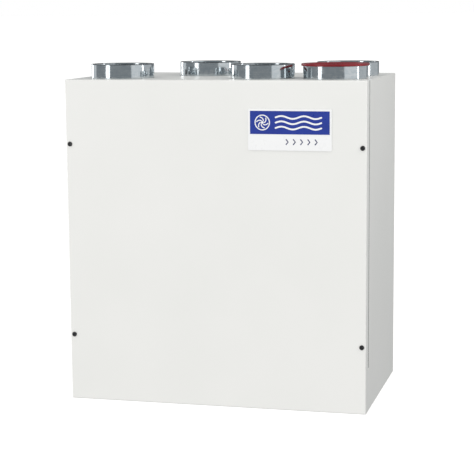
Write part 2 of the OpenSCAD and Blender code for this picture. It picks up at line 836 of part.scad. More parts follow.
// a channel under and over each filter
module filter_rail_pair(z) {
    t = 1.2;
    lip = 6;
    x0 = cassette_x + hair;
    x1 = filter_x[1] + 0.6 + t;
    y0 = case_front_y + 1;
    y1 = in_back_y - clear;
    for (top = [0, 1]) {
        edge = top == 0 ? z - 0.6 : z + filter_h + 0.6;
        away = top == 0 ? -t : t;
        base = [min(edge, edge + away), max(edge, edge + away)];
        inward = top == 0 ? edge + lip : edge - lip;
        lips = [min(inward, edge + away), max(inward, edge + away)];
        union() {
            box([x0, y0, base[0]], [x1, y1, base[1]]);
            box([x1 - t, y0, lips[0]], [x1, y1, lips[1]]);
            box([filter_x[0] - 0.6 - t, y0, lips[0]], [filter_x[0] - 0.6, y1, lips[1]]);
        }
    }
}

module filter_rails() {
    color(galvanised) {
        mirror([1, 0, 0]) filter_rail_pair(extract_filter_z);
        filter_rail_pair(outdoor_filter_z);
    }
}

// ---------------------------------------------------------------- heater

heater_x = [-73, -57];
heater_y = [-84, 150];
heater_z = [188, 311];

module heater_frame() {
    w = 1.5;
    color(galvanised) union() {
        difference() {
            box([heater_x[0], heater_y[0], heater_z[0]], [heater_x[1], heater_y[1], heater_z[1]]);
            box([heater_x[0] - 1, heater_y[0] + w, heater_z[0] + w],
                [heater_x[1] + 1, heater_y[1] - w, heater_z[1] - w]);
        }
        box([heater_x[0] - 12, heater_y[0] - 5, heater_z[1] - 60],
            [heater_x[0] + 4, heater_y[0] + 0.5, heater_z[1] - 20]);
    }
}

// one serpentine of four runs of tubular element
module heater_elements() {
    r = 3.8;
    runs = 4;
    rise = 28;
    x = (heater_x[0] + heater_x[1]) / 2;
    y0 = heater_y[0] + 24;
    y1 = heater_y[1] - 26;
    z0 = heater_z[0] + 20;
    color("#8A7A6A") union() {
        for (i = [0 : runs - 1]) translate([x, i == 0 || i == runs - 1 ? heater_y[0] + 2 : y0, z0 + i * rise])
            rotate([-90, 0, 0])
                cylinder(h = y1 - (i == 0 || i == runs - 1 ? heater_y[0] + 2 : y0), r = r);
        for (i = [0 : runs - 2]) {
            far = i % 2 == 0;
            translate([x, far ? y1 : y0, z0 + (i + 0.5) * rise]) rotate([0, 90, 0]) intersection() {
                rotate_extrude() translate([rise / 2, 0]) circle(r);
                translate([-50, far ? 0 : -50, -10]) cube([100, 50, 20]);
            }
        }
    }
}

// ---------------------------------------------------------------- controls

control_lo = [-132, -146, 482];
control_hi = [-4, -30, 612];

module control_box() {
    w = 1.2;
    color("#A6ADB0") difference() {
        box(control_lo, control_hi);
        box(control_lo + [w, -1, w], control_hi - [w, w, w]);
        for (x = [rotor_cable_x, fan_cable_x])
            translate([x, passage_y, control_lo[2] - 5]) cylinder(h = 10, r = passage_r);
        translate([control_hi[0] - 5, fan_passage[0], fan_passage[1]])
            rotate([0, 90, 0]) cylinder(h = 10, r = passage_r);
        translate([control_lo[0] - 2, feed_passage[0], feed_passage[1]])
            rotate([0, 90, 0]) cylinder(h = 8, r = gland_bore_r);
    }
}

module control_box_cover() {
    color("#B4BABD") union() {
        box([control_lo[0], control_lo[1] - 1.4, control_lo[2]],
            [control_hi[0], control_lo[1] - hair, control_hi[2]]);
        for (x = [control_lo[0] + 9, control_hi[0] - 9], z = [control_lo[2] + 9, control_hi[2] - 9])
            translate([x, control_lo[1] - 1.3, z]) rotate([90, 0, 0]) cylinder(h = 1.6, r = 3);
    }
}

// circuit board with its terminals, relays, capacitors and transformer
module control_board() {
    y = -60;
    x0 = control_lo[0] + 8;
    z0 = control_lo[2] + 8;
    color("#1E6B3A") union() {
        box([x0, y, z0], [x0 + 112, y + 1.6, z0 + 114]);
        for (i = [0 : 8]) box([x0 + 5 + i * 11.5, y - 12, z0 + 3], [x0 + 14.5 + i * 11.5, y + 0.2, z0 + 13]);
        for (i = [0 : 3]) box([x0 + 6 + i * 17, y - 16, z0 + 22], [x0 + 19 + i * 17, y + 0.2, z0 + 48]);
        box([x0 + 78, y - 34, z0 + 20], [x0 + 108, y + 0.2, z0 + 56]);
        for (i = [0 : 2]) translate([x0 + 14 + i * 16, y + 0.2, z0 + 66]) rotate([90, 0, 0])
            cylinder(h = 22, r = 6.5);
        box([x0 + 62, y - 3.5, z0 + 66], [x0 + 84, y + 0.2, z0 + 88]);
        for (i = [0 : 4]) box([x0 + 6 + i * 13, y - 9, z0 + 98], [x0 + 16 + i * 13, y + 0.2, z0 + 110]);
        for (z = [0, 1], x = [0, 1]) translate([x0 + 4 + x * 104, y + 1.4, z0 + 56 + z * 40])
            rotate([-90, 0, 0]) cylinder(h = control_hi[1] - 1.2 - hair - y - 1.4, r = 2.5);
    }
}

module probe(at) {
    translate(at) union() {
        translate([0, 0, -44]) cylinder(h = 44, r = 2.6);
        translate([0, 0, -46]) cylinder(h = 2.1, r1 = 1.4, r2 = 2.6);
        translate([0, 0, -4]) cylinder(h = 4, r = 6);
    }
}

// one sensor in each chamber: extract, exhaust, outdoor and supply
module temperature_probes() {
    top = in_high_z - hair;
    shelf = mid_z - shelf_half_t - hair;
    color("#C8CCCE") {
        probe([-150, 24, top]);
        probe([200, -138, top]);
        probe([138, -60, shelf]);
        probe([-95, 20, shelf]);
    }
}

module wiring() {
    feed = feed_passage;
    fan = fan_passage;
    gland = gland_points[1];
    color("#2A2A2C") {
        // mains feed from the middle gland
        cable([[gland[0], gland[1], in_high_z - 8], [gland[0], gland[1], feed[1]], [gland[0], -18, feed[1]],
               [-150, -18, feed[1]], [-150, feed[0], feed[1]], [-126, feed[0], feed[1]]], 3.4);
        // rotor motor
        cable([[rotor_cable_x, passage_y, 505], [rotor_cable_x, passage_y, 300],
               [rotor_cable_x, -118, 250], [-96.5, -118, 236], [-96.5, -118, 226]], 2.4);
        // supply fan
        cable([[fan_cable_x, passage_y, 505], [fan_cable_x, passage_y, 306], [fan_cable_x, 154, 306],
               [fan_cable_x, 154, 200], [-146, 149.5, 192]], 2.4);
        // exhaust fan
        cable([[-10, fan[0], fan[1]], [-1.5, fan[0], fan[1]], [-1.5, -12, fan[1]], [112, -12, fan[1]],
               [112, -12, 452], [112, -19, 452]], 1.8);
    }
}

// ---------------------------------------------------------------- wall mounting

rail_half = 250;

module hang_rail() {
    t = 1.5;
    color(galvanised) union() {
        box([-rail_half, back_y + hair, 560], [rail_half, back_y + hair + t, 600]);
        box([-rail_half, back_y + hair, 600 - t], [rail_half, back_y + 10.5, 600]);
        box([-rail_half, back_y + 9, 576], [rail_half, back_y + 10.5, 600]);
    }
}

module wall_rail() {
    t = 1.5;
    wall_y = back_y + 14.5;
    color(galvanised) difference() {
        union() {
            box([-rail_half, wall_y - t, 520], [rail_half, wall_y, 610]);
            box([-rail_half, back_y + 4.5, 572.5], [rail_half, wall_y, 574]);
            box([-rail_half, back_y + 4.5, 572.5], [rail_half, back_y + 6, 598.3]);
        }
        for (x = [-200, 200]) translate([x, wall_y + 1, 536]) rotate([90, 0, 0]) cylinder(h = 5, r = 4.25);
    }
}

module wall_buffers() {
    color("#1E1F20") for (x = [-250, 250]) translate([x, back_y + hair, 60]) rotate([-90, 0, 0]) union() {
        cylinder(h = 12.3, r = 14);
        translate([0, 0, 12.3]) cylinder(h = 2, r1 = 14, r2 = 12);
    }
}

// ---------------------------------------------------------------- nodes

door_skin();
door_insulation();
door_inner_sheet();
door_gasket();
door_screws();
name_plate();
name_plate_inlay();
side_panel_left();
side_panel_right();
back_panel();
top_panel();
bottom_panel();
casing_insulation();
rivet_nuts();
cable_glands();
spigot_extract();
spigot_supply();
spigot_exhaust();
spigot_kitchen();
spigot_outdoor();
spigot_cap();
middle_shelves();
center_partitions();
divider_gaskets();
rotor_cassette();
rotor_beams();
rotor_shaft();
rotor_hub();
rotor_matrix();
rotor_rim();
rotor_seals();
drive_belt();
drive_motor();
motor_pulley();
exhaust_fan_scroll();
exhaust_fan_inlet_ring();
exhaust_fan_impeller();
exhaust_fan_motor();
supply_fan_scroll();
supply_fan_inlet_ring();
supply_fan_impeller();
supply_fan_motor();
exhaust_duct();
supply_duct();
outdoor_duct();
extract_filter_frame();
extract_filter_media();
outdoor_filter_frame();
outdoor_filter_media();
filter_rails();
heater_frame();
heater_elements();
control_box();
control_box_cover();
control_board();
temperature_probes();
wiring();
hang_rail();
wall_rail();
wall_buffers();
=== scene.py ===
"""Looks of the wall-hung heat recovery unit: materials, fine pieces, light and camera."""

import math

import bmesh
import bpy
from mathutils import Matrix, Vector


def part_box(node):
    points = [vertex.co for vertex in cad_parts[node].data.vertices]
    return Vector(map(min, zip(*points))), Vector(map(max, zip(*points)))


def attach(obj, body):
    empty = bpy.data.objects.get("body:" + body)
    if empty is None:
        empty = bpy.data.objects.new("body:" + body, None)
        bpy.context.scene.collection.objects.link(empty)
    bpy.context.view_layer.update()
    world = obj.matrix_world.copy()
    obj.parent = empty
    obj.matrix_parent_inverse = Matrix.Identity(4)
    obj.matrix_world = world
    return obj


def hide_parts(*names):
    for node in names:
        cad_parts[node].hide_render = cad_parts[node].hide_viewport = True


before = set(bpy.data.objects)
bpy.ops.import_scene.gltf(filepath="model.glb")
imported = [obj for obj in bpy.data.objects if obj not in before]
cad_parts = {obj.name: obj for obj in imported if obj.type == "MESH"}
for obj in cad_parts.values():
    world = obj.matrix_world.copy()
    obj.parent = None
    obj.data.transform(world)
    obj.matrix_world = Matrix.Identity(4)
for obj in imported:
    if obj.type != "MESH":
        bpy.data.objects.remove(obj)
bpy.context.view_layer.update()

MM = 0.001
TAU = 2 * math.pi
UP = Matrix.Identity(4)
TO_FRONT = Matrix.Rotation(math.pi / 2, 4, "X")      # turns +Z to -Y
TO_BACK = Matrix.Rotation(-math.pi / 2, 4, "X")      # turns +Z to +Y
TO_RIGHT = Matrix.Rotation(math.pi / 2, 4, "Y")      # turns +Z to +X
TO_LEFT = Matrix.Rotation(-math.pi / 2, 4, "Y")      # turns +Z to -X


def at(x, y, z, turn=UP):
    return Matrix.Translation((x, y, z)) @ turn


# ------------------------------------------------------------------ camera, light and floor

def make_camera():
    camera = bpy.data.objects.new("camera", bpy.data.cameras.new("camera"))
    bpy.context.scene.collection.objects.link(camera)
    camera.data.sensor_width = 36
    camera.data.lens = 112.8
    yaw = math.radians(14.292)
    pitch = math.radians(8.582)
    roll = math.radians(-0.458)
    camera.matrix_world = (at(0.7466, -2.9305, 0.7667) @ Matrix.Rotation(yaw, 4, "Z")
                           @ Matrix.Rotation(math.pi / 2 - pitch, 4, "X")
                           @ Matrix.Rotation(roll, 4, "Z"))
    bpy.context.scene.camera = camera


def make_card(name, azimuth, distance, height, size, power, glossy=True, diffuse=True):
    """A soft card light aimed at the unit; its azimuth counts from straight ahead, positive to the right."""
    target = Vector((0, 0, 0.38))
    turn = math.radians(azimuth)
    place = Vector((math.sin(turn) * distance, -math.cos(turn) * distance, height))
    data = bpy.data.lights.new(name, "AREA")
    data.shape = "RECTANGLE"
    data.size, data.size_y = size
    data.energy = power
    data.color = (1.0, 0.99, 0.965) if diffuse else (1.0, 1.0, 1.0)
    light = bpy.data.objects.new(name, data)
    light.location = place
    light.rotation_mode = "QUATERNION"
    light.rotation_quaternion = (place - target).to_track_quat("Z", "Y")
    light.visible_camera = False
    light.visible_glossy = glossy
    light.visible_diffuse = diffuse
    bpy.context.scene.collection.objects.link(light)


def make_world():
    """White where the camera looks past the unit, soft directional fill, slate grey in reflections."""
    world = bpy.data.worlds.new("studio")
    bpy.context.scene.world = world
    world.use_nodes = True
    tree = world.node_tree
    tree.nodes.clear()

    def add(kind):
        return tree.nodes.new(kind)

    def shade(color, strength):
        node = add("ShaderNodeBackground")
        node.inputs["Color"].default_value = (*color, 1)
        node.inputs["Strength"].default_value = strength
        return node

    rays = add("ShaderNodeLightPath")
    fill = shade((1.0, 1.0, 0.985), 1)
    toward = add("ShaderNodeVectorMath")
    toward.operation = "DOT_PRODUCT"
    toward.inputs[1].default_value = (-0.16, -0.30, 0.0)
    lift = add("ShaderNodeMath")
    lift.operation = "ADD"
    lift.inputs[1].default_value = 0.81
    tree.links.new(add("ShaderNodeTexCoord").outputs["Generated"], toward.inputs[0])
    tree.links.new(toward.outputs["Value"], lift.inputs[0])
    tree.links.new(lift.outputs[0], fill.inputs["Strength"])
    inner = add("ShaderNodeMixShader")
    outer = add("ShaderNodeMixShader")
    tree.links.new(rays.outputs["Is Glossy Ray"], inner.inputs[0])
    tree.links.new(fill.outputs[0], inner.inputs[1])
    tree.links.new(shade((0.88, 0.95, 1.0), 0.29).outputs[0], inner.inputs[2])
    tree.links.new(rays.outputs["Is Camera Ray"], outer.inputs[0])
    tree.links.new(inner.outputs[0], outer.inputs[1])
    tree.links.new(shade((1.0, 1.0, 1.0), 1.0).outputs[0], outer.inputs[2])
    tree.links.new(outer.outputs[0], add("ShaderNodeOutputWorld").inputs[0])


def make_studio():
    """Two soft lights for the paint, and cards that only the bright metal mirrors."""
    make_camera()
    make_world()
    make_card("key", -25, 3.2, 1.8, (1.8, 1.8), 9, glossy=False)
    make_card("side", 75, 1.3, 1.45, (0.8, 0.8), 6.4, glossy=False)
    make_card("mirror_left", -122, 2.4, 0.7, (2.6, 1.9), 6.5, diffuse=False)
    make_card("strip_left", -41, 2.4, 0.7, (0.55, 1.9), 7.5, diffuse=False)
    make_card("mirror_right", 68, 2.4, 0.6, (2.1, 1.8), 6, diffuse=False)
    make_card("strip_right", 95, 2.4, 0.6, (0.12, 1.8), 4, diffuse=False)
    make_card("mirror_far_right", 124, 2.4, 0.6, (2.2, 1.8), 3.5, diffuse=False)
    make_card("strip_back", 238, 2.4, 0.8, (0.3, 1.9), 9, diffuse=False)
    bpy.context.scene.view_settings.view_transform = "Standard"
    make_floor()


def make_floor():
    """White paper floor, out to the horizon, that throws no light back."""
    half = 400
    mesh = bpy.data.meshes.new("floor")
    mesh.from_pydata([(-half, -half, 0), (half, -half, 0), (half, half, 0), (-half, half, 0)], [],
                     [(0, 1, 2, 3)])
    floor = bpy.data.objects.new("floor", mesh)
    floor.location.z = -0.2 * MM
    floor.visible_glossy = False
    floor.visible_diffuse = False
    bpy.context.scene.collection.objects.link(floor)
    paper = Finish("floor_paper", (0.93, 0.93, 0.93), 0.9, Emission_Color=(1, 1, 1, 1), Emission_Strength=0.4)
    paper.tint(paper.noise(3, 2), (0.925, 0.925, 0.925), (0.94, 0.94, 0.94))
    mesh.materials.append(paper.material)


# ------------------------------------------------------------------ materials

class Finish:
    """A Principled material whose colour, roughness and bump come from procedural textures."""

    def __init__(self, name, color, roughness, metallic=0.0, **sockets):
        self.material = bpy.data.materials.new(name)
        self.material.use_nodes = True
        self.material.diffuse_color = (*color, 1)
        self.tree = self.material.node_tree
        self.shader = self.tree.nodes["Principled BSDF"]
        self.shader.inputs["Base Color"].default_value = (*color, 1)
        self.shader.inputs["Roughness"].default_value = roughness
        self.shader.inputs["Metallic"].default_value = metallic
        for socket, value in sockets.items():
            self.shader.inputs[socket.replace("_", " ")].default_value = value
        self.place = self.add("ShaderNodeTexCoord").outputs["Object"]
        self.normal = None

    def add(self, kind, **settings):
        node = self.tree.nodes.new(kind)
        for key, value in settings.items():
            setattr(node, key, value)
        return node

    def link(self, source, target):
        self.tree.links.new(source, target)

    def moved(self, stretch=(1, 1, 1), shift=(0, 0, 0), turn=(0, 0, 0)):
        """Object coordinates shifted, turned and stretched."""
        mapping = self.add("ShaderNodeMapping", vector_type="POINT")
        mapping.inputs["Location"].default_value = shift
        mapping.inputs["Rotation"].default_value = turn
        mapping.inputs["Scale"].default_value = stretch
        self.link(self.place, mapping.inputs["Vector"])
        return mapping.outputs["Vector"]

    def noise(self, scale, detail=3, stretch=(1, 1, 1), roughness=0.5):
        node = self.add("ShaderNodeTexNoise")
        node.inputs["Scale"].default_value = scale
        node.inputs["Detail"].default_value = detail
        node.inputs["Roughness"].default_value = roughness
        self.link(self.moved(stretch), node.inputs["Vector"])
        return node.outputs["Fac"]

    def cells(self, scale, feature="F1", output="Distance", stretch=(1, 1, 1)):
        node = self.add("ShaderNodeTexVoronoi", feature=feature)
        node.inputs["Scale"].default_value = scale
        self.link(self.moved(stretch), node.inputs["Vector"])
        return node.outputs[output]

    def waves(self, scale, kind="BANDS", direction="Z", vector=None, distortion=0.0):
        node = self.add("ShaderNodeTexWave", wave_type=kind)
        setattr(node, "bands_direction" if kind == "BANDS" else "rings_direction", direction)
        node.inputs["Scale"].default_value = scale
        node.inputs["Distortion"].default_value = distortion
        self.link(vector or self.place, node.inputs["Vector"])
        return node.outputs["Fac"]

    def level(self, source, low, high, start=0.0, end=1.0):
        """source from start to end, turned into low to high."""
        node = self.add("ShaderNodeMapRange")
        for socket, value in zip(node.inputs[1:5], (start, end, low, high)):
            socket.default_value = value
        self.link(source, node.inputs[0])
        return node.outputs[0]

    def math(self, operation, a, b):
        node = self.add("ShaderNodeMath", operation=operation)
        for socket, value in zip(node.inputs, (a, b)):
            if isinstance(value, (int, float)):
                socket.default_value = value
            else:
                self.link(value, socket)
        return node.outputs[0]

    def tint(self, factor, low, high, over=None):
        """Base colour from low to high by factor; over is a colour output that stands for low."""
        node = self.add("ShaderNodeMix", data_type="RGBA")
        self.link(factor, node.inputs[0])
        node.inputs[6].default_value = (*low, 1)
        node.inputs[7].default_value = (*high, 1)
        if over is not None:
            self.link(over, node.inputs[6])
        self.link(node.outputs[2], self.shader.inputs["Base Color"])
        return node.outputs[2]

    def rough(self, source, low, high, start=0.3, end=0.7):
        self.link(self.level(source, low, high, start, end), self.shader.inputs["Roughness"])

    def bump(self, height, depth, strength=1.0):
        """Adds relief of that depth in metres."""
        node = self.add("ShaderNodeBump")
        node.inputs["Strength"].default_value = strength
        node.inputs["Distance"].default_value = depth
        self.link(height, node.inputs["Height"])
        if self.normal is not None:
            self.link(self.normal, node.inputs["Normal"])
        self.normal = node.outputs["Normal"]
        self.link(self.normal, self.shader.inputs["Normal"])


def white_coat():
    """Semi-gloss powder coat: faint orange peel, cloudiness and painted shade in the seams, where ambient
    occlusion darkens the colour.
    """
    f = Finish("white_powder_coat", (0.82, 0.82, 0.805), 0.34)
    cloud = f.noise(5, 3)
    color = f.tint(f.level(cloud, 0, 1, 0.35, 0.65), (0.815, 0.818, 0.803), (0.832, 0.832, 0.82))
    # Painted shade: within 4 mm of other surfaces, ambient occlusion darkens the paint towards a dusty grey
    # brown.
    seam = f.add("ShaderNodeAmbientOcclusion", samples=8)
    seam.inputs["Distance"].default_value = 4 * MM
    painted_seam_shade = f.level(seam.outputs["AO"], 0.35, 0.0, 0.1, 0.8)
    f.tint(painted_seam_shade, (0.82, 0.82, 0.8), (0.5, 0.49, 0.46), over=color)
    f.rough(f.noise(60, 4), 0.30, 0.38)
    f.bump(f.noise(520, 2), 0.05 * MM, 0.35)
    f.bump(f.noise(1500, 1), 0.02 * MM, 0.3)
    return f.material


def galvanised(name, shade=0.52, spangle=90):
    """Zinc coated sheet: spangle cells, dull patches and fine rolling lines."""
    f = Finish(name, (shade,) * 3, 0.4, 1.0)
    cell = f.cells(spangle, output="Color")
    gray = f.add("ShaderNodeRGBToBW")
    f.link(cell, gray.inputs[0])
    patch = f.math("ADD", f.level(gray.outputs[0], 0, 0.7, 0.2, 0.8), f.level(f.noise(14, 4), 0, 0.4))
    f.tint(patch, (shade * 0.82, shade * 0.86, shade * 0.89), (shade * 1.12, shade * 1.14, shade * 1.15))
    f.rough(patch, 0.30, 0.46, 0.1, 1.0)
    f.bump(f.noise(700, 2, stretch=(1, 1, 0.05)), 0.02 * MM, 0.25)
    return f.material


def spigot_steel():
    """Bright rolled zinc that mirrors the studio in upright bands; its folded rim is painted dark as shade and
    made dull.
    """
    f = Finish("spigot_steel", (0.62, 0.66, 0.68), 0.13, 1.0)
    streak = f.noise(55, 4, stretch=(1, 1, 9))
    cell = f.cells(150, output="Color")
    gray = f.add("ShaderNodeRGBToBW")
    f.link(cell, gray.inputs[0])
    mixed = f.math("ADD", f.level(streak, 0, 0.6, 0.3, 0.7), f.level(gray.outputs[0], 0, 0.4, 0.2, 0.8))
    color = f.tint(mixed, (0.56, 0.61, 0.64), (0.70, 0.73, 0.74))
    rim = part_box("spigot_extract")[1].z
    split = f.add("ShaderNodeSeparateXYZ")
    f.link(f.place, split.inputs[0])
    # Painted shade: the top of the rim is painted near black, standing for the shaded far inner wall and hiding
    # the hem's reflections.
    edge = f.level(split.outputs["Z"], 0, 1, rim - 1.6 * MM, rim - 1.0 * MM)
    f.tint(edge, (0.6, 0.6, 0.6), (0.13, 0.14, 0.15), over=color)
    dull = f.math("MULTIPLY", edge, 0.4)
    f.link(f.math("ADD", f.level(mixed, 0.07, 0.17, 0.1, 0.9), dull), f.shader.inputs["Roughness"])
    f.bump(f.noise(120, 2, stretch=(1, 1, 6)), 0.03 * MM, 0.25)
    return f.material


def bead_foam():
    """Moulded bead foam: rounded cells with darker joints between them."""
    f = Finish("bead_foam", (0.05, 0.052, 0.056), 0.8)
    joint = f.cells(330, feature="DISTANCE_TO_EDGE")
    f.tint(f.level(joint, 0, 1, 0.0, 0.12), (0.022, 0.023, 0.025), (0.066, 0.069, 0.074))
    f.rough(f.noise(80, 3), 0.62, 0.85)
    f.bump(f.level(joint, 0, 1, 0.0, 0.25), 0.35 * MM, 0.8)
    return f.material


def rubber(name, color, wear):
    """Matt rubber with fine grain and paler rubbed patches."""
    f = Finish(name, color, 0.7)
    f.tint(f.level(f.noise(70, 5), 0, 1, 0.35, 0.75), color, wear)
    f.rough(f.noise(200, 3), 0.55, 0.8)
    f.bump(f.noise(1400, 2), 0.06 * MM, 0.5)
    return f.material


def moulded(name, color, paler, roughness, grain=0.05, **sockets):
    """Moulded plastic: fine spark-eroded grain and a slight drift in colour."""
    f = Finish(name, color, roughness, **sockets)
    f.tint(f.level(f.noise(35, 4), 0, 1, 0.35, 0.7), color, paler)
    f.rough(f.noise(90, 3), roughness * 0.85, roughness * 1.15)
    f.bump(f.noise(900, 2), grain * MM, 0.4)
    return f.material


def printed_film():
    """Blue printed film on the name plate, with a fine print screen."""
    f = Finish("blue_film", (0.012, 0.04, 0.33), 0.32)
    screen = f.cells(1300)
    drift = f.math("ADD", f.level(screen, 0, 0.35), f.level(f.noise(40, 3), 0, 0.6))
    f.tint(drift, (0.008, 0.028, 0.26), (0.016, 0.05, 0.40))
    f.rough(f.noise(140, 3), 0.27, 0.37)
    f.bump(f.noise(700, 2), 0.01 * MM, 0.3)
    return f.material


def plain_metal(name, color, roughness, brushed=(1, 1, 0.04), worn=1.25):
    """Machined or plated metal with brush lines along one axis."""
    f = Finish(name, color, roughness, 1.0)
    lines = f.noise(800, 3, stretch=brushed)
    f.tint(f.level(f.noise(60, 4), 0, 1, 0.3, 0.7), color, tuple(min(1, c * worn) for c in color))
    f.rough(lines, roughness * 0.75, roughness * 1.3)
    f.bump(lines, 0.02 * MM, 0.3)
    return f.material


def black_oxide():
    """Blackened steel, rubbed brighter on its edges."""
    f = Finish("black_oxide", (0.05, 0.05, 0.053), 0.36, 0.7)
    edge = f.add("ShaderNodeNewGeometry").outputs["Pointiness"]
    color = f.tint(f.noise(300, 4), (0.04, 0.04, 0.044), (0.075, 0.075, 0.08))
    f.tint(f.level(edge, 0, 0.7, 0.52, 0.6), (0.05, 0.05, 0.05), (0.24, 0.235, 0.23), over=color)
    f.rough(f.noise(500, 3), 0.28, 0.46)
    f.bump(f.noise(1800, 2), 0.02 * MM, 0.4)
    return f.material


def foil():
    """Wound corrugated foil: rings about the rotor's axis, broken up by the corrugation, with painted shade in
    the channels between the layers.
    """
    f = Finish("wound_foil", (0.6, 0.62, 0.63), 0.34, 1.0)
    centre = piece_centre("rotor_rim")
    middle = f.moved(shift=(-centre.x, -centre.y, -centre.z))
    layers = f.waves(83, kind="RINGS", direction="X", vector=middle)
    tubes = f.cells(520, feature="DISTANCE_TO_EDGE", stretch=(0.02, 1, 1))
    # Painted shade: the channels between the foil layers and the tube edges are painted dark, though the foil
    # is one colour.
    both = f.math("MULTIPLY", layers, f.level(tubes, 0.25, 1, 0.0, 0.25))
    f.tint(both, (0.13, 0.14, 0.15), (0.74, 0.76, 0.77))
    f.rough(f.noise(40, 3), 0.26, 0.42)
    f.bump(both, 0.8 * MM, 0.7)
    return f.material


def woven_belt():
    """Rubberised belt with its weave showing."""
    f = Finish("drive_belt_rubber", (0.17, 0.05, 0.015), 0.55)
    weave = f.waves(260, direction="X", distortion=0.6)
    f.tint(f.level(f.noise(120, 4), 0, 1, 0.3, 0.7), (0.12, 0.036, 0.012), (0.24, 0.08, 0.025))
    f.rough(f.noise(200, 3), 0.45, 0.68)
    f.bump(weave, 0.12 * MM, 0.5)
    return f.material


def fleece():
    """Filter fleece: matted fibres with a faint grey load."""
    f = Finish("filter_fleece", (0.82, 0.82, 0.78), 0.95, Sheen_Weight=0.25)
    fibre = f.noise(600, 5, stretch=(1, 0.25, 1), roughness=0.7)
    f.tint(f.level(f.noise(25, 4), 0, 1, 0.35, 0.75), (0.84, 0.84, 0.81), (0.66, 0.65, 0.61))
    f.rough(f.noise(200, 2), 0.88, 0.98)
    f.bump(fibre, 0.3 * MM, 0.7)
    return f.material


def card():
    """Stiff card of the filter frames: fibre flecks and slightly fluffed grain."""
    f = Finish("filter_card", (0.68, 0.63, 0.53), 0.85)
    fleck = f.cells(900, stretch=(1, 0.4, 1))
    color = f.tint(f.noise(60, 5), (0.63, 0.58, 0.48), (0.74, 0.70, 0.60))
    f.tint(f.level(fleck, 0.5, 0, 0.05, 0.3), (0.7, 0.65, 0.55), (0.45, 0.38, 0.28), over=color)
    f.rough(f.noise(150, 3), 0.78, 0.92)
    f.bump(f.noise(900, 4), 0.1 * MM, 0.5)
    return f.material


def heat_tinted():
    """Tubular heating element: steel tinted straw and blue-grey by heat."""
    f = Finish("heater_tube", (0.3, 0.24, 0.19), 0.38, 1.0)
    band = f.noise(28, 3, stretch=(1, 0.5, 1))
    f.tint(f.level(band, 0, 1, 0.35, 0.65), (0.34, 0.26, 0.18), (0.2, 0.2, 0.24))
    f.rough(f.noise(150, 3), 0.3, 0.5)
    f.bump(f.noise(700, 2), 0.03 * MM, 0.4)
    return f.material


def circuit_board():
    """Green board with paler tracks."""
    f = Finish("circuit_board", (0.015, 0.13, 0.05), 0.4)
    trace = f.cells(240, feature="DISTANCE_TO_EDGE", stretch=(1, 0.05, 1))
    f.tint(f.level(trace, 0, 1, 0.0, 0.08), (0.05, 0.30, 0.12), (0.012, 0.11, 0.04))
    f.rough(f.noise(120, 3), 0.32, 0.5)
    f.bump(f.level(trace, 1, 0, 0.0, 0.08), 0.05 * MM, 0.5)
    return f.material


# ------------------------------------------------------------------ mesh building

def piece_centre(node):
    low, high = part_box(node)
    return (low + high) / 2


def circle(radius, height, segments=64, squash=None):
    """Ring of points about the Z axis; squash gives a radius factor at an angle."""
    points = []
    for i in range(segments):
        a = TAU * i / segments
        r = radius * (squash(a) if squash else 1)
        points.append(Vector((r * math.cos(a), r * math.sin(a), height)))
    return points


def hexagon(angle):
    """Radius factor of a hexagon whose flats lie at radius 1."""
    step = math.pi / 3
    return 1 / math.cos((angle % step) - step / 2)


def arc(radius, start, end, steps, centre=(0, 0)):
    """Points (across, along) on an arc, with angles in degrees."""
    points = []
    for i in range(steps + 1):
        a = math.radians(start + (end - start) * i / steps)
        points.append((centre[0] + radius * math.cos(a), centre[1] + radius * math.sin(a)))
    return points


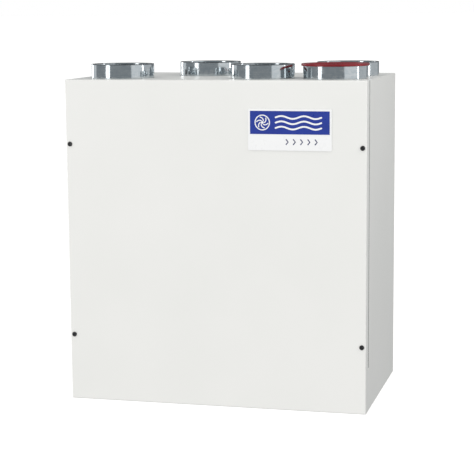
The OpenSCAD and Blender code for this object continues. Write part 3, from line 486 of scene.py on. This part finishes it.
class Shape:
    """Gathers the faces of one piece."""

    def __init__(self):
        self.mesh = bmesh.new()

    def skin(self, rings, place=UP, looped=False):
        """Faces between equally long closed rings of points; a looped skin joins its last ring to its first."""
        made = [[self.mesh.verts.new(place @ Vector(p)) for p in ring] for ring in rings]
        pairs = list(zip(made, made[1:] + made[:1])) if looped else list(zip(made, made[1:]))
        count = len(made[0])
        for low, high in pairs:
            for i in range(count):
                j = (i + 1) % count
                self.mesh.faces.new((low[i], low[j], high[j], high[i]))
        if not looped:
            self.mesh.faces.new(tuple(reversed(made[0])))
            self.mesh.faces.new(tuple(made[-1]))
        return self

    def lathe(self, profile, place=UP, segments=64, looped=False):
        """profile is a list of (radius, height); a looped one is a closed section."""
        rings = [circle(max(r, 1e-6), z, segments) for r, z in profile]
        return self.skin(rings, place, looped)

    def block(self, low, high, edge=0.0, steps=2, place=UP):
        """A box with rounded edges."""
        low, high = Vector(low), Vector(high)
        size, middle = high - low, (high + low) / 2
        matrix = place @ Matrix.Translation(middle) @ Matrix.Diagonal((*size, 1))
        made = bmesh.ops.create_cube(self.mesh, size=1.0, matrix=matrix)
        if edge:
            edges = list({e for v in made["verts"] for e in v.link_edges})
            bmesh.ops.bevel(self.mesh, geom=edges, offset=edge, segments=steps, profile=0.5,
                            affect="EDGES", clamp_overlap=True)
        return self

    def prism(self, outline, thickness, place=UP):
        """A flat outline of (across, along) points, thickened along +Z."""
        rings = [[Vector((x, y, z)) for x, y in outline] for z in (0, thickness)]
        return self.skin(rings, place)

    def sweep(self, path, section, closed=False):
        """A section of (across, along) points carried along a path, with mitred corners."""
        points = [Vector(p) for p in path]
        count = len(points)
        rings = []
        side = None
        for i, p in enumerate(points):
            before = points[i - 1] if closed or i else p
            after = points[(i + 1) % count] if closed or i < count - 1 else p
            along = (after - p).normalized() + (p - before).normalized()
            along.normalize()
            if side is None:
                side = along.orthogonal().normalized()
            side = (side - along * side.dot(along)).normalized()
            other = along.cross(side)
            rings.append([p + side * a + other * b for a, b in section])
        return self.skin(rings, looped=closed)

    def piece(self, name, body, material, slot, replaces=(), sharp=32, bevel=0.0):
        """Turns the gathered faces into an object that rides on a body."""
        bmesh.ops.remove_doubles(self.mesh, verts=self.mesh.verts, dist=1e-7)
        bmesh.ops.recalc_face_normals(self.mesh, faces=self.mesh.faces)
        data = bpy.data.meshes.new(name)
        self.mesh.to_mesh(data)
        self.mesh.free()
        data.shade_smooth()
        data.set_sharp_from_angle(angle=math.radians(sharp))
        made = bpy.data.objects.new(name, data)
        bpy.context.scene.collection.objects.link(made)
        data.materials.append(material)
        if bevel:
            round_edges(made, bevel)
        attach(made, body)
        if replaces:
            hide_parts(*replaces)
        return made


def round_edges(obj, width, steps=2):
    """Small rounded edges that catch the light."""
    bevel = obj.modifiers.new("round_edges", "BEVEL")
    bevel.width = width
    bevel.segments = steps
    bevel.limit_method = "ANGLE"
    bevel.angle_limit = math.radians(38)
    bevel.use_clamp_overlap = True
    bevel.harden_normals = False
    normals = obj.modifiers.new("even_normals", "WEIGHTED_NORMAL")
    normals.keep_sharp = False


def dress(node, material, bevel=0.0):
    """Gives a CAD node its material, and rounds its edges where that shows."""
    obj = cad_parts[node]
    obj.data.materials.clear()
    obj.data.materials.append(material)
    if bevel:
        weld = obj.modifiers.new("weld", "WELD")
        weld.merge_threshold = 0.005 * MM
        round_edges(obj, bevel)


def round_section(radius, segments=14):
    return [(radius * math.cos(TAU * i / segments), radius * math.sin(TAU * i / segments))
            for i in range(segments)]


def smooth_path(points, radius, steps=6):
    """Route with each inner corner turned into a curve."""
    points = [Vector(p) for p in points]
    route = [points[0]]
    for before, corner, after in zip(points, points[1:], points[2:]):
        reach = min(radius, (corner - before).length * 0.45, (after - corner).length * 0.45)
        start = corner + (before - corner).normalized() * reach
        end = corner + (after - corner).normalized() * reach
        for i in range(steps + 1):
            t = i / steps
            route.append(start * (1 - t) ** 2 + corner * 2 * t * (1 - t) + end * t ** 2)
    route.append(points[-1])
    return route


def dome(shape, radius, height, place, steps=4, segments=20):
    """A rivet's or screw's domed head."""
    profile = [(radius * math.cos(math.pi / 2 * i / steps), height * math.sin(math.pi / 2 * i / steps))
               for i in range(steps)]
    shape.lathe([*profile, (radius * 0.05, height)], place, segments)


# ------------------------------------------------------------------ finishes in use

make_studio()

WHITE = white_coat()
SHEET = galvanised("galvanised_sheet")
DULL_SHEET = galvanised("control_sheet", 0.46, 140)
SPIGOT = spigot_steel()
FOAM = bead_foam()
RUBBER = rubber("black_rubber", (0.017, 0.017, 0.018), (0.032, 0.032, 0.033))
CABLE = rubber("cable_sheath", (0.022, 0.022, 0.024), (0.05, 0.05, 0.052))
BLACK = moulded("black_plastic", (0.026, 0.027, 0.029), (0.045, 0.046, 0.049), 0.46)
PLATE = moulded("plate_plastic", (0.88, 0.885, 0.9), (0.9, 0.905, 0.915), 0.3, 0.015)
BLUE = printed_film()
INK = moulded("dark_ink", (0.05, 0.055, 0.14), (0.08, 0.085, 0.19), 0.4, 0.01)
RED = moulded("red_plastic", (0.20, 0.004, 0.010), (0.26, 0.006, 0.014), 0.36, 0.03)
NYLON = moulded("natural_nylon", (0.68, 0.67, 0.62), (0.75, 0.74, 0.69), 0.4, 0.03)
MOTOR = moulded("motor_shell", (0.075, 0.08, 0.085), (0.11, 0.115, 0.12), 0.42, 0.06)
SCREW = black_oxide()
ZINC = plain_metal("zinc_plate", (0.6, 0.61, 0.62), 0.28)
CAST = plain_metal("cast_aluminium", (0.5, 0.51, 0.52), 0.48, (1, 1, 1))
FOIL = foil()
BELT = woven_belt()
FLEECE = fleece()
CARD = card()
HEATER = heat_tinted()
BOARD = circuit_board()


def dress_frame():
    coats = [
        (WHITE, 0, ["door_skin", "side_panel_left", "side_panel_right", "back_panel"]),
        (WHITE, 0.3, ["top_panel", "bottom_panel"]),
        (FOAM, 0.8, ["door_insulation", "casing_insulation", "middle_shelves", "center_partitions"]),
        (SHEET, 0.25, ["door_inner_sheet", "rotor_cassette", "rotor_beams", "exhaust_duct", "supply_duct",
                       "outdoor_duct", "filter_rails", "heater_frame", "exhaust_fan_scroll",
                       "supply_fan_scroll", "rotor_rim", "hang_rail", "wall_rail"]),
        (DULL_SHEET, 0.25, ["control_box", "control_box_cover"]),
        (RUBBER, 0.5, ["divider_gaskets", "rotor_seals", "wall_buffers"]),
        (BLACK, 0, ["exhaust_fan_inlet_ring", "supply_fan_inlet_ring", "exhaust_fan_impeller",
                    "supply_fan_impeller"]),
        (BLACK, 0.4, ["cable_glands"]),
        (PLATE, 0.35, ["name_plate"]),
        (BLUE, 0, ["name_plate_inlay"]),
        (ZINC, 0, ["rotor_shaft", "temperature_probes", "rivet_nuts"]),
        (CAST, 0.6, ["rotor_hub"]),
        (BELT, 0, ["drive_belt"]),
        (MOTOR, 0.6, ["drive_motor", "exhaust_fan_motor", "supply_fan_motor"]),
        (NYLON, 0.3, ["motor_pulley"]),
        (CARD, 0.4, ["extract_filter_frame", "outdoor_filter_frame"]),
        (HEATER, 0, ["heater_elements"]),
        (BOARD, 0.3, ["control_board"]),
    ]
    for material, bevel, nodes in coats:
        for node in nodes:
            dress(node, material, bevel * MM)


# ------------------------------------------------------------------ spigots and the cap

HEM = 0.75 * MM          # half thickness of the hemmed rim


def spigot(node):
    """Rolled tube with a hemmed rim, a narrower neck in the panel, its collar and a lock seam."""
    low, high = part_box(node)
    centre = (low + high) / 2
    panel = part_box("top_panel")[1].z
    collar_r = (high.x - low.x) / 2
    outer = collar_r - 2.3 * MM
    inner = outer - 0.8 * MM
    neck = 0.3 * MM
    rim = high.z
    collar_z = panel - 2.4 * MM
    hem = arc(HEM, 0, 180, 6, (outer - HEM, rim - HEM))
    profile = [(inner - neck, low.z), (outer - neck, low.z), (outer - neck, collar_z), (collar_r, collar_z),
               (collar_r, collar_z + 1.2 * MM), (outer - neck, collar_z + 1.2 * MM),
               (outer - neck, panel + neck), (outer, panel + 2 * neck), *hem,
               (outer - 2 * HEM, rim - 4 * MM), (inner, rim - 4.4 * MM), (inner, panel + 2 * neck),
               (inner - neck, panel + neck)]
    shape = Shape().lathe(profile, at(centre.x, centre.y, 0), 128, looped=True)
    seam = seam_place(centre, outer)
    shape.block((-3.2 * MM, -0.1 * MM, panel + neck), (3.2 * MM, 0.3 * MM, rim - 4 * MM), 0.12 * MM, 1, seam)
    return shape.piece(f"{node}_tube", "casing", SPIGOT, "spigot_steel", [node])


def seam_place(centre, radius):
    """Place of the lock seam: on the spigot's rear left."""
    turn = Matrix.Rotation(math.radians(38), 4, "Z")
    return at(centre.x, centre.y, 0) @ turn @ Matrix.Translation((0, radius, 0))


def cap():
    """Moulded cap: skirt over the spigot's rim, ribbed recess with a grip bar, plug with a lead-in."""
    low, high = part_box("spigot_cap")
    centre = (low + high) / 2
    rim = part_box("spigot_kitchen")[1].z
    r = (high.x - low.x) / 2
    top = high.z
    skirt = rim - 3.2 * MM
    groove = r - 3.3 * MM
    plug = r - 5.6 * MM
    bowl = r - 14 * MM
    sunk = top - 1.6 * MM
    floor_z = rim - 2.2 * MM
    shoulder = arc(1.1 * MM, 0, 90, 6, (r - 1.1 * MM, top - 1.1 * MM))
    lip = arc(0.5 * MM, 90, 170, 4, (bowl + 0.5 * MM, top - 0.5 * MM))
    plug_in = plug - 1.8 * MM
    profile = [(0.5 * MM, floor_z), (plug_in, floor_z), (plug_in, low.z), (plug - 0.7 * MM, low.z),
               (plug, low.z + 2 * MM), (plug, rim + 0.05 * MM), (groove, rim + 0.05 * MM), (groove, skirt),
               (r - 0.5 * MM, skirt), (r, skirt + 0.5 * MM), *shoulder, *lip, (bowl - 0.1 * MM, sunk),
               (0.5 * MM, sunk)]
    place = at(centre.x, centre.y, 0)
    shape = Shape().lathe(profile, place, 128, looped=True)
    for i in range(12):
        turn = place @ Matrix.Rotation(TAU * (i + 0.5) / 12, 4, "Z")
        shape.block((9 * MM, -0.6 * MM, sunk - 0.3 * MM), (bowl - 1 * MM, 0.6 * MM, sunk + 0.8 * MM),
                    0.25 * MM, 1, turn)
    shape.block((-bowl, -4.5 * MM, sunk - 0.3 * MM), (bowl, 4.5 * MM, top - 0.1 * MM), 0.8 * MM, 3, place)
    shape.piece("kitchen_spigot_cap", "cap", RED, "red_plastic", ["spigot_cap"])


# ------------------------------------------------------------------ door

def door_screws():
    """Four pan-head screws with hexagon sockets and rolled threads."""
    low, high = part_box("door_screws")
    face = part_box("door_skin")[0].y
    head_t = face - low.y
    length = high.y - face
    pitch = 1.25 * MM
    head_r = 4.7 * MM
    shank_r = 2.95 * MM
    socket = 2.3 * MM
    round_r = 1.5 * MM
    shoulder = arc(round_r, 0, 90, 5, (head_r - round_r, head_t - round_r))
    shape = Shape()
    for x in (low.x + head_r, high.x - head_r):
        for z in (low.z + head_r, high.z - head_r):
            rings = [circle(shank_r * 0.6, -length, 36), circle(shank_r, -length + 0.8 * MM, 36)]
            turns = int(16 * MM / pitch)
            for i in range(turns):
                z0 = -length + 1 * MM + i * pitch
                rings += [circle(shank_r, z0, 36), circle(shank_r * 0.84, z0 + pitch / 2, 36)]
            rings += [circle(shank_r, -length + 1 * MM + turns * pitch, 36), circle(shank_r, 0, 36),
                      circle(head_r, 0, 36)]
            rings += [circle(a, b, 36) for a, b in shoulder]
            rings += [circle(socket + 0.25 * MM, head_t, 36), circle(socket, head_t - 0.25 * MM, 36, hexagon),
                      circle(socket, head_t - 1.8 * MM, 36, hexagon), circle(0.3 * MM, head_t - 2.2 * MM, 36)]
            shape.skin(rings, at(x, face, z, TO_FRONT))
    shape.piece("door_screw_set", "door", SCREW, "black_steel", ["door_screws"], sharp=28)


def door_gasket():
    """Hollow bulb seal run round the door's inner sheet, with mitred corners."""
    low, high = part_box("door_gasket")
    width = 9 * MM
    depth = high.y - low.y
    middle = width / 2
    corners = [(low.x + middle, low.z + middle), (high.x - middle, low.z + middle),
               (high.x - middle, high.z - middle), (low.x + middle, high.z - middle)]
    bulb = [(-0.5, 0), (-0.5, 0.28), (-0.36, 0.36), *[(0.36 * math.cos(a), 0.42 + 0.58 * math.sin(a)) for a in
            [math.pi * k / 10 for k in range(9, 0, -1)]], (0.36, 0.36), (0.5, 0.28), (0.5, 0)]
    shape = Shape()
    rings = []
    for x, z in corners:
        out = Vector((math.copysign(1, x), 0, math.copysign(1, z - (low.z + high.z) / 2)))
        rings.append([Vector((x, low.y, z)) + out * (a * width) + Vector((0, b * depth, 0)) for a, b in bulb])
    shape.skin(rings, looped=True)
    shape.piece("door_bulb_seal", "door", RUBBER, "black_rubber", ["door_gasket"], sharp=40)


def seal_and_gap_shade():
    """Black rubber strip on the casing's front corners, wrapped over the side panels' front bends: partly an
    edge seal, mostly a dark piece that stands for the shadow in the gap behind the door.
    """
    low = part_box("side_panel_left")[0]
    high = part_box("side_panel_right")[1]
    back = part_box("top_panel")[0].y
    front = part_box("door_skin")[1].y + 0.15 * MM
    outer = high.x - 0.1 * MM
    inner = outer - 2.2 * MM
    bend = 2.5 * MM
    foot = low.z + 86 * MM
    top = high.z - 0.4 * MM
    corner = arc(bend + 0.02 * MM, -18, -85, 8, (high.x - bend, back + bend))
    # Painted shadow: the outline wraps round the side panel's front bend so that black shows where the gap's
    # shadow falls.
    outline = [(inner, front), (outer - 0.3 * MM, front), (outer, front + 0.3 * MM), *corner,
               (inner, back - 0.02 * MM)]
    shape = Shape()
    for side in (-1, 1):
        shape.prism([(side * x, y) for x, y in outline], top - foot, at(0, 0, foot))
    shape.block((0.5 * MM - inner, front, top - 2 * MM), (inner - 0.5 * MM, back - 0.02 * MM, top), 0.3 * MM)
    shape.piece("front_edge_trim_and_gap_shade", "casing", RUBBER, "black_rubber", sharp=50)


def ribbon(shape, path, width, thickness, place):
    """A flat stroke with round ends along a path of (across, along) points."""
    left, right = [], []
    points = [Vector(p) for p in path]
    for i, p in enumerate(points):
        along = (points[min(i + 1, len(points) - 1)] - points[max(i - 1, 0)]).normalized()
        side = Vector((-along.y, along.x)) * width / 2
        left.append(p + side)
        right.append(p - side)
    first, last = points[0], points[-1]
    start = math.degrees(math.atan2(*reversed(left[0] - first)))
    finish = math.degrees(math.atan2(*reversed(right[-1] - last)))
    outline = [*right, *arc(width / 2, finish, finish + 180, 8, last)[1:-1], *reversed(left),
               *arc(width / 2, start, start + 180, 8, first)[1:-1]]
    shape.prism([(p[0], p[1]) for p in outline], thickness, place)


def plate_symbol():
    """Generic sign of a fan wheel and moving air, raised on the blue field."""
    low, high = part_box("name_plate_inlay")
    centre = (low + high) / 2
    face = low.y
    raised = 0.15 * MM
    shape = Shape()
    wheel = at(low.x + 24 * MM, face, centre.z, TO_FRONT)
    rings = [circle(r * MM, z, 64) for r, z in ((15, 0), (15, raised), (13, raised), (13, 0))]
    shape.skin(rings, wheel, looped=True)
    shape.lathe([(2.6 * MM, 0), (2.6 * MM, raised)], wheel, 32)
    for i in range(6):
        turn = TAU * i / 6
        blade = []
        for k in range(9):
            s = k / 8
            a = turn + 0.9 * s
            r = (4 + 7 * s) * MM
            blade.append((r * math.cos(a), r * math.sin(a)))
        ribbon(shape, blade, 1.9 * MM, raised, wheel)
    for row in (-1, 0, 1):
        wave = []
        span = high.x - low.x - 66 * MM
        for k in range(41):
            s = k / 40
            wave.append((span * s, 2.6 * MM * math.sin(TAU * 2 * s)))
        ribbon(shape, wave, 3.2 * MM, raised, at(low.x + 50 * MM, face, centre.z + row * 10 * MM, TO_FRONT))
    shape.piece("plate_air_sign", "door", PLATE, "plate_white")


def plate_arrows():
    """Five small dark chevrons in the white strip under the blue field."""
    plate_low, plate_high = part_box("name_plate")
    inlay_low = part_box("name_plate_inlay")[0]
    shape = Shape()
    middle = (plate_low.z + inlay_low.z) / 2 + 1 * MM
    arm = 4.6 * MM
    for i in range(5):
        x = plate_high.x - 28 * MM - (4 - i) * 14 * MM
        path = [(-arm * 0.8, arm), (0, 0), (-arm * 0.8, -arm)]
        ribbon(shape, path, 2.2 * MM, 0.1 * MM, at(x, plate_low.y, middle, TO_FRONT))
    shape.piece("plate_arrows", "door", INK, "plate_blue")


def door_rivets():
    """Blind rivets that hold the door's inner sheet."""
    low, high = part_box("door_inner_sheet")
    inset = 30 * MM
    shape = Shape()
    for x in (low.x + inset, high.x - inset):
        rivet_line(shape, (x, high.y, low.z + 2 * inset), (x, high.y, high.z - 2 * inset), 6, TO_BACK)
    shape.piece("door_rivets", "door", ZINC, "zinc_steel")


# ------------------------------------------------------------------ rotor, fans and filters

def matrix():
    """Foil wheel with its wound layers as fine grooves in both faces."""
    low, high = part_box("rotor_matrix")
    centre = (low + high) / 2
    half = (high.x - low.x) / 2
    outer = (high.z - low.z) / 2
    inner = (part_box("rotor_hub")[1].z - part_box("rotor_hub")[0].z) / 2 + 0.1 * MM
    layers = 32
    groove = 1.1 * MM
    step = (outer - inner) / layers
    face = []
    for i in range(layers):
        r = inner + i * step
        face += [(r, half), (r + step * 0.55, half), (r + step * 0.62, half - groove),
                 (r + step * 0.93, half - groove)]
    face.append((outer, half))
    profile = [*face, *[(r, -z) for r, z in reversed(face)]]
    shape = Shape().lathe(profile, at(*centre, TO_RIGHT), 120, looped=True)
    shape.piece("foil_wheel", "rotor", FOIL, "aluminium_foil", ["rotor_matrix"], sharp=25)


def rim_screws():
    """Clamp screws round the rotor's rim, on its two edges."""
    low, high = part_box("rotor_rim")
    centre = (low + high) / 2
    radius = (high.z - low.z) / 2
    shape = Shape()
    for i in range(8):
        turn = Matrix.Rotation(TAU * (i + 0.5) / 8, 4, "X")
        for x in (low.x + 9 * MM, high.x - 9 * MM):
            place = at(*centre) @ turn @ Matrix.Translation((x - centre.x, 0, radius - 0.3 * MM))
            dome(shape, 2.6 * MM, 1.1 * MM, place)
    shape.piece("rim_rivets", "rotor", ZINC, "zinc_steel")


def filter_media(node, frame_node, body):
    """Pleated fleece: rounded folds, thick enough to read as cloth, with two spacer threads."""
    low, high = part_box(node)
    pleats = 20
    steps = 12
    thick = 1.1 * MM
    amplitude = (high.x - low.x) / 2 - thick
    middle = (high.x + low.x) / 2
    line = []
    for i in range(pleats * steps + 1):
        t = i / steps
        swing = math.cos(TAU * t)
        bend = math.copysign(1 - (1 - abs(swing)) ** 1.6, swing)
        line.append(Vector((middle + amplitude * bend, low.y + (high.y - low.y) * i / (pleats * steps), 0)))
    ring_of = []
    for i, p in enumerate(line):
        along = (line[min(i + 1, len(line) - 1)] - line[max(i - 1, 0)]).normalized()
        side = Vector((-along.y, along.x, 0)) * thick / 2
        ring_of.append([p + side + Vector((0, 0, low.z)), p + side + Vector((0, 0, high.z)),
                        p - side + Vector((0, 0, high.z)), p - side + Vector((0, 0, low.z))])
    shape = Shape().skin(ring_of)
    shape.piece(f"{node}_pleats", body, FLEECE, "filter_fleece", [node], sharp=50)
    box_low, box_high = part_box(frame_node)
    threads = Shape()
    for x in (box_low.x + 1.2 * MM, box_high.x - 1.2 * MM):
        for share in (0.25, 0.5, 0.75):
            z = low.z + (high.z - low.z) * share
            path = [(x, box_low.y + 6 * MM, z), (x, box_high.y - 4 * MM, z)]
            threads.sweep(path, round_section(0.7 * MM, 10))
    threads.piece(f"{node}_threads", body, NYLON, "filter_card")


def fan_trim(prefix):
    """Wire guard over the fan's inlet, and the screws of its ring."""
    low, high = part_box(f"{prefix}_inlet_ring")
    centre = (low + high) / 2
    outer = (high.x - low.x) / 2
    front = low.y
    guard = Shape()
    for r in (14, 26, 38, 50, 62):
        path = [(centre.x + r * MM * math.cos(TAU * k / 48), front - 0.9 * MM,
                 centre.z + r * MM * math.sin(TAU * k / 48)) for k in range(48)]
        guard.sweep(path, round_section(0.8 * MM, 8), closed=True)
    for i in range(3):
        a = TAU * (i + 0.25) / 3
        ends = []
        for reach in (14 * MM, 74 * MM):
            ends.append((centre.x + reach * math.cos(a), front - 0.1 * MM, centre.z + reach * math.sin(a)))
        guard.sweep(ends, round_section(0.9 * MM, 8))
    guard.piece(f"{prefix}_guard", "casing", ZINC, "zinc_steel")
    screws = Shape()
    for i in range(6):
        a = TAU * (i + 0.5) / 6
        r = outer - 5 * MM
        place = at(centre.x + r * math.cos(a), front, centre.z + r * math.sin(a), TO_FRONT)
        dome(screws, 2.8 * MM, 1.6 * MM, place)
    screws.piece(f"{prefix}_ring_screws", "casing", ZINC, "zinc_steel")


def cooling_fins():
    """Ribs round the gear motor's can, and the four bolts of its gearbox."""
    low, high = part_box("drive_motor")
    centre = piece_centre("motor_pulley")
    shape = Shape()
    for i in range(7):
        x = low.x + 8 * MM + i * 4.4 * MM
        rings = [circle(r, h, 56) for r, h in ((24.5 * MM, 0), (26.4 * MM, 0.4 * MM), (26.4 * MM, 1.4 * MM),
                                               (24.5 * MM, 1.8 * MM))]
        shape.skin(rings, at(x, centre.y, centre.z, TO_RIGHT), looped=True)
    shape.piece("motor_fins", "casing", MOTOR, "motor_grey")
    bolts = Shape()
    reach = 21 * MM
    for sy in (-1, 1):
        for sz in (-1, 1):
            rings = [circle(2.8 * MM, h, 24, hexagon) for h in (0, 2.2 * MM)]
            place = at(high.x - 22 * MM, centre.y + sy * reach, centre.z + sz * reach, TO_LEFT)
            bolts.skin(rings, place)
    bolts.piece("gearbox_bolts", "casing", ZINC, "zinc_steel", bevel=0.25 * MM)


# ------------------------------------------------------------------ sheet work

def rivet_line(shape, start, end, count, turn, radius=2.2, height=0.9):
    """Evenly spaced blind rivets between two points."""
    start, end = Vector(start), Vector(end)
    for i in range(count):
        p = start.lerp(end, i / (count - 1))
        dome(shape, radius * MM, height * MM, at(*p, turn))


def casing_rivets():
    """Blind rivets of the back panel, hang rail, ducts and rotor cassette."""
    low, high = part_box("back_panel")
    inset = 12 * MM
    back = Shape()
    for x in (low.x + inset, high.x - inset):
        rivet_line(back, (x, high.y, low.z + 30 * MM), (x, high.y, high.z - 30 * MM), 7, TO_BACK)
    for z in (low.z + 14 * MM, high.z - 14 * MM):
        rivet_line(back, (low.x + 80 * MM, high.y, z), (high.x - 80 * MM, high.y, z), 5, TO_BACK)
    back.piece("back_rivets", "casing", WHITE, "white_paint")
    rail_low, rail_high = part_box("hang_rail")
    rail = Shape()
    z = rail_low.z + 8 * MM
    rivet_line(rail, (rail_low.x + 25 * MM, rail_low.y + 1.5 * MM, z),
               (rail_high.x - 25 * MM, rail_low.y + 1.5 * MM, z), 6, TO_BACK, 3.2, 1.4)
    rail.piece("rail_rivets", "casing", ZINC, "zinc_steel")
    inside = Shape()
    cass_low, cass_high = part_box("rotor_cassette")
    for x in (cass_low.x + 7 * MM, cass_high.x - 7 * MM):
        rivet_line(inside, (x, cass_low.y, cass_low.z + 14 * MM), (x, cass_low.y, cass_high.z - 14 * MM),
                   7, TO_FRONT)
    duct_low, duct_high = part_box("exhaust_duct")
    for z in (duct_low.z + 5 * MM, duct_high.z - 5 * MM):
        rivet_line(inside, (duct_low.x + 8 * MM, duct_low.y, z), (duct_high.x - 8 * MM, duct_low.y, z),
                   6, TO_FRONT)
    inside.piece("inner_rivets", "casing", ZINC, "zinc_steel")


def control_cover():
    """Folded cover with pressed louvres and pan-head screws at its corners."""
    low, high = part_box("control_box_cover")
    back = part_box("control_box")[0].y
    front = back - 1.4 * MM
    middle = (low + high) / 2
    cover = Shape()
    cover.block((low.x, front, low.z), (high.x, back, high.z), 0.5 * MM)
    for i in range(7):
        z = middle.z + (i - 3) * 8 * MM
        cover.block((middle.x - 30 * MM, front - 0.9 * MM, z - 1.7 * MM),
                    (middle.x + 30 * MM, front + 0.6 * MM, z + 1.7 * MM), 0.8 * MM, 3)
    cover.piece("control_cover", "casing", DULL_SHEET, "control_steel", ["control_box_cover"])
    screws = Shape()
    for x in (low.x + 9 * MM, high.x - 9 * MM):
        for z in (low.z + 9 * MM, high.z - 9 * MM):
            rings = [circle(3.4 * MM, -0.2 * MM, 28)]
            rings += [circle(a, b, 28) for a, b in arc(1.2 * MM, 0, 90, 4, (2.0 * MM, 0.2 * MM))]
            rings += [circle(1.5 * MM, 1.4 * MM, 28, hexagon), circle(1.5 * MM, 0.5 * MM, 28, hexagon)]
            screws.skin(rings, at(x, front, z, TO_FRONT))
    screws.piece("cover_screws", "casing", ZINC, "zinc_steel")


def cables():
    """Inner cables with easy bends, held by ties below the control box."""
    low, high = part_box("wiring")
    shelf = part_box("middle_shelves")[0].z
    gland = piece_centre("cable_glands")
    pulley = piece_centre("motor_pulley")
    box_low, box_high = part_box("control_box")
    motor_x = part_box("drive_motor")[0].x + 22 * MM
    feed_y = box_high.y - 10 * MM
    feed_z = box_high.z - 16 * MM
    feed_back = feed_y + 22 * MM
    feed_side = -150 * MM
    front_y = box_low.y + 8 * MM
    below = box_low.z + 23 * MM
    rotor_x = box_low.x + 10 * MM
    supply_x = rotor_x + 10 * MM
    supply_y = high.y - 2.4 * MM
    exhaust_x = 112 * MM
    exhaust_z = box_low.z + 6 * MM
    wall_x = -1.5 * MM
    wall_y = -12 * MM
    routes = [
        ("feed_cable", 3.4, [
            (gland.x, gland.y, high.z), (gland.x, gland.y, feed_z), (gland.x, feed_back, feed_z),
            (feed_side, feed_back, feed_z), (feed_side, feed_y, feed_z), (box_low.x + 6 * MM, feed_y, feed_z)]),
        ("rotor_motor_cable", 2.4, [
            (rotor_x, front_y, below), (rotor_x, front_y, shelf - 15 * MM),
            (rotor_x, pulley.y, pulley.z + 54 * MM), (motor_x, pulley.y, pulley.z + 41 * MM),
            (motor_x, pulley.y, pulley.z + 31 * MM)]),
        ("supply_fan_cable", 2.4, [
            (supply_x, front_y, below), (supply_x, front_y, shelf - 9 * MM),
            (supply_x, supply_y, shelf - 9 * MM), (supply_x, supply_y, low.z + 10 * MM),
            (supply_x - 34 * MM, high.y - 6.9 * MM, low.z + 2.4 * MM)]),
        ("exhaust_fan_cable", 1.8, [
            (box_high.x - 6 * MM, box_high.y - 8 * MM, exhaust_z), (wall_x, box_high.y - 8 * MM, exhaust_z),
            (wall_x, wall_y, exhaust_z), (exhaust_x, wall_y, exhaust_z),
            (exhaust_x, wall_y, exhaust_z - 36 * MM), (exhaust_x, wall_y - 7 * MM, exhaust_z - 36 * MM)]),
    ]
    for name, radius, route in routes:
        shape = Shape().sweep(smooth_path(route, 8 * MM, 8), round_section(radius * MM, 16))
        shape.piece(name, "casing", CABLE, "black_plastic", sharp=60)
    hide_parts("wiring")
    clips = Shape()
    for z in (400 * MM, 350 * MM, 450 * MM):
        for x in (rotor_x, supply_x):
            rings = [circle(r * MM, h * MM, 28) for r, h in ((2.5, -2), (3.6, -2), (3.6, 2), (2.5, 2))]
            clips.skin(rings, at(x, front_y, z), looped=True)
    clips.piece("cable_ties", "casing", NYLON, "pulley_plastic")


dress_frame()
for spigot_node in ("spigot_extract", "spigot_supply", "spigot_exhaust", "spigot_kitchen", "spigot_outdoor"):
    spigot(spigot_node)
cap()
door_screws()
door_gasket()
seal_and_gap_shade()
door_rivets()
plate_symbol()
plate_arrows()
matrix()
rim_screws()
for side in ("extract_filter", "outdoor_filter"):
    filter_media(f"{side}_media", f"{side}_frame", side)
fan_trim("exhaust_fan")
fan_trim("supply_fan")
cooling_fins()
casing_rivets()
control_cover()
cables()
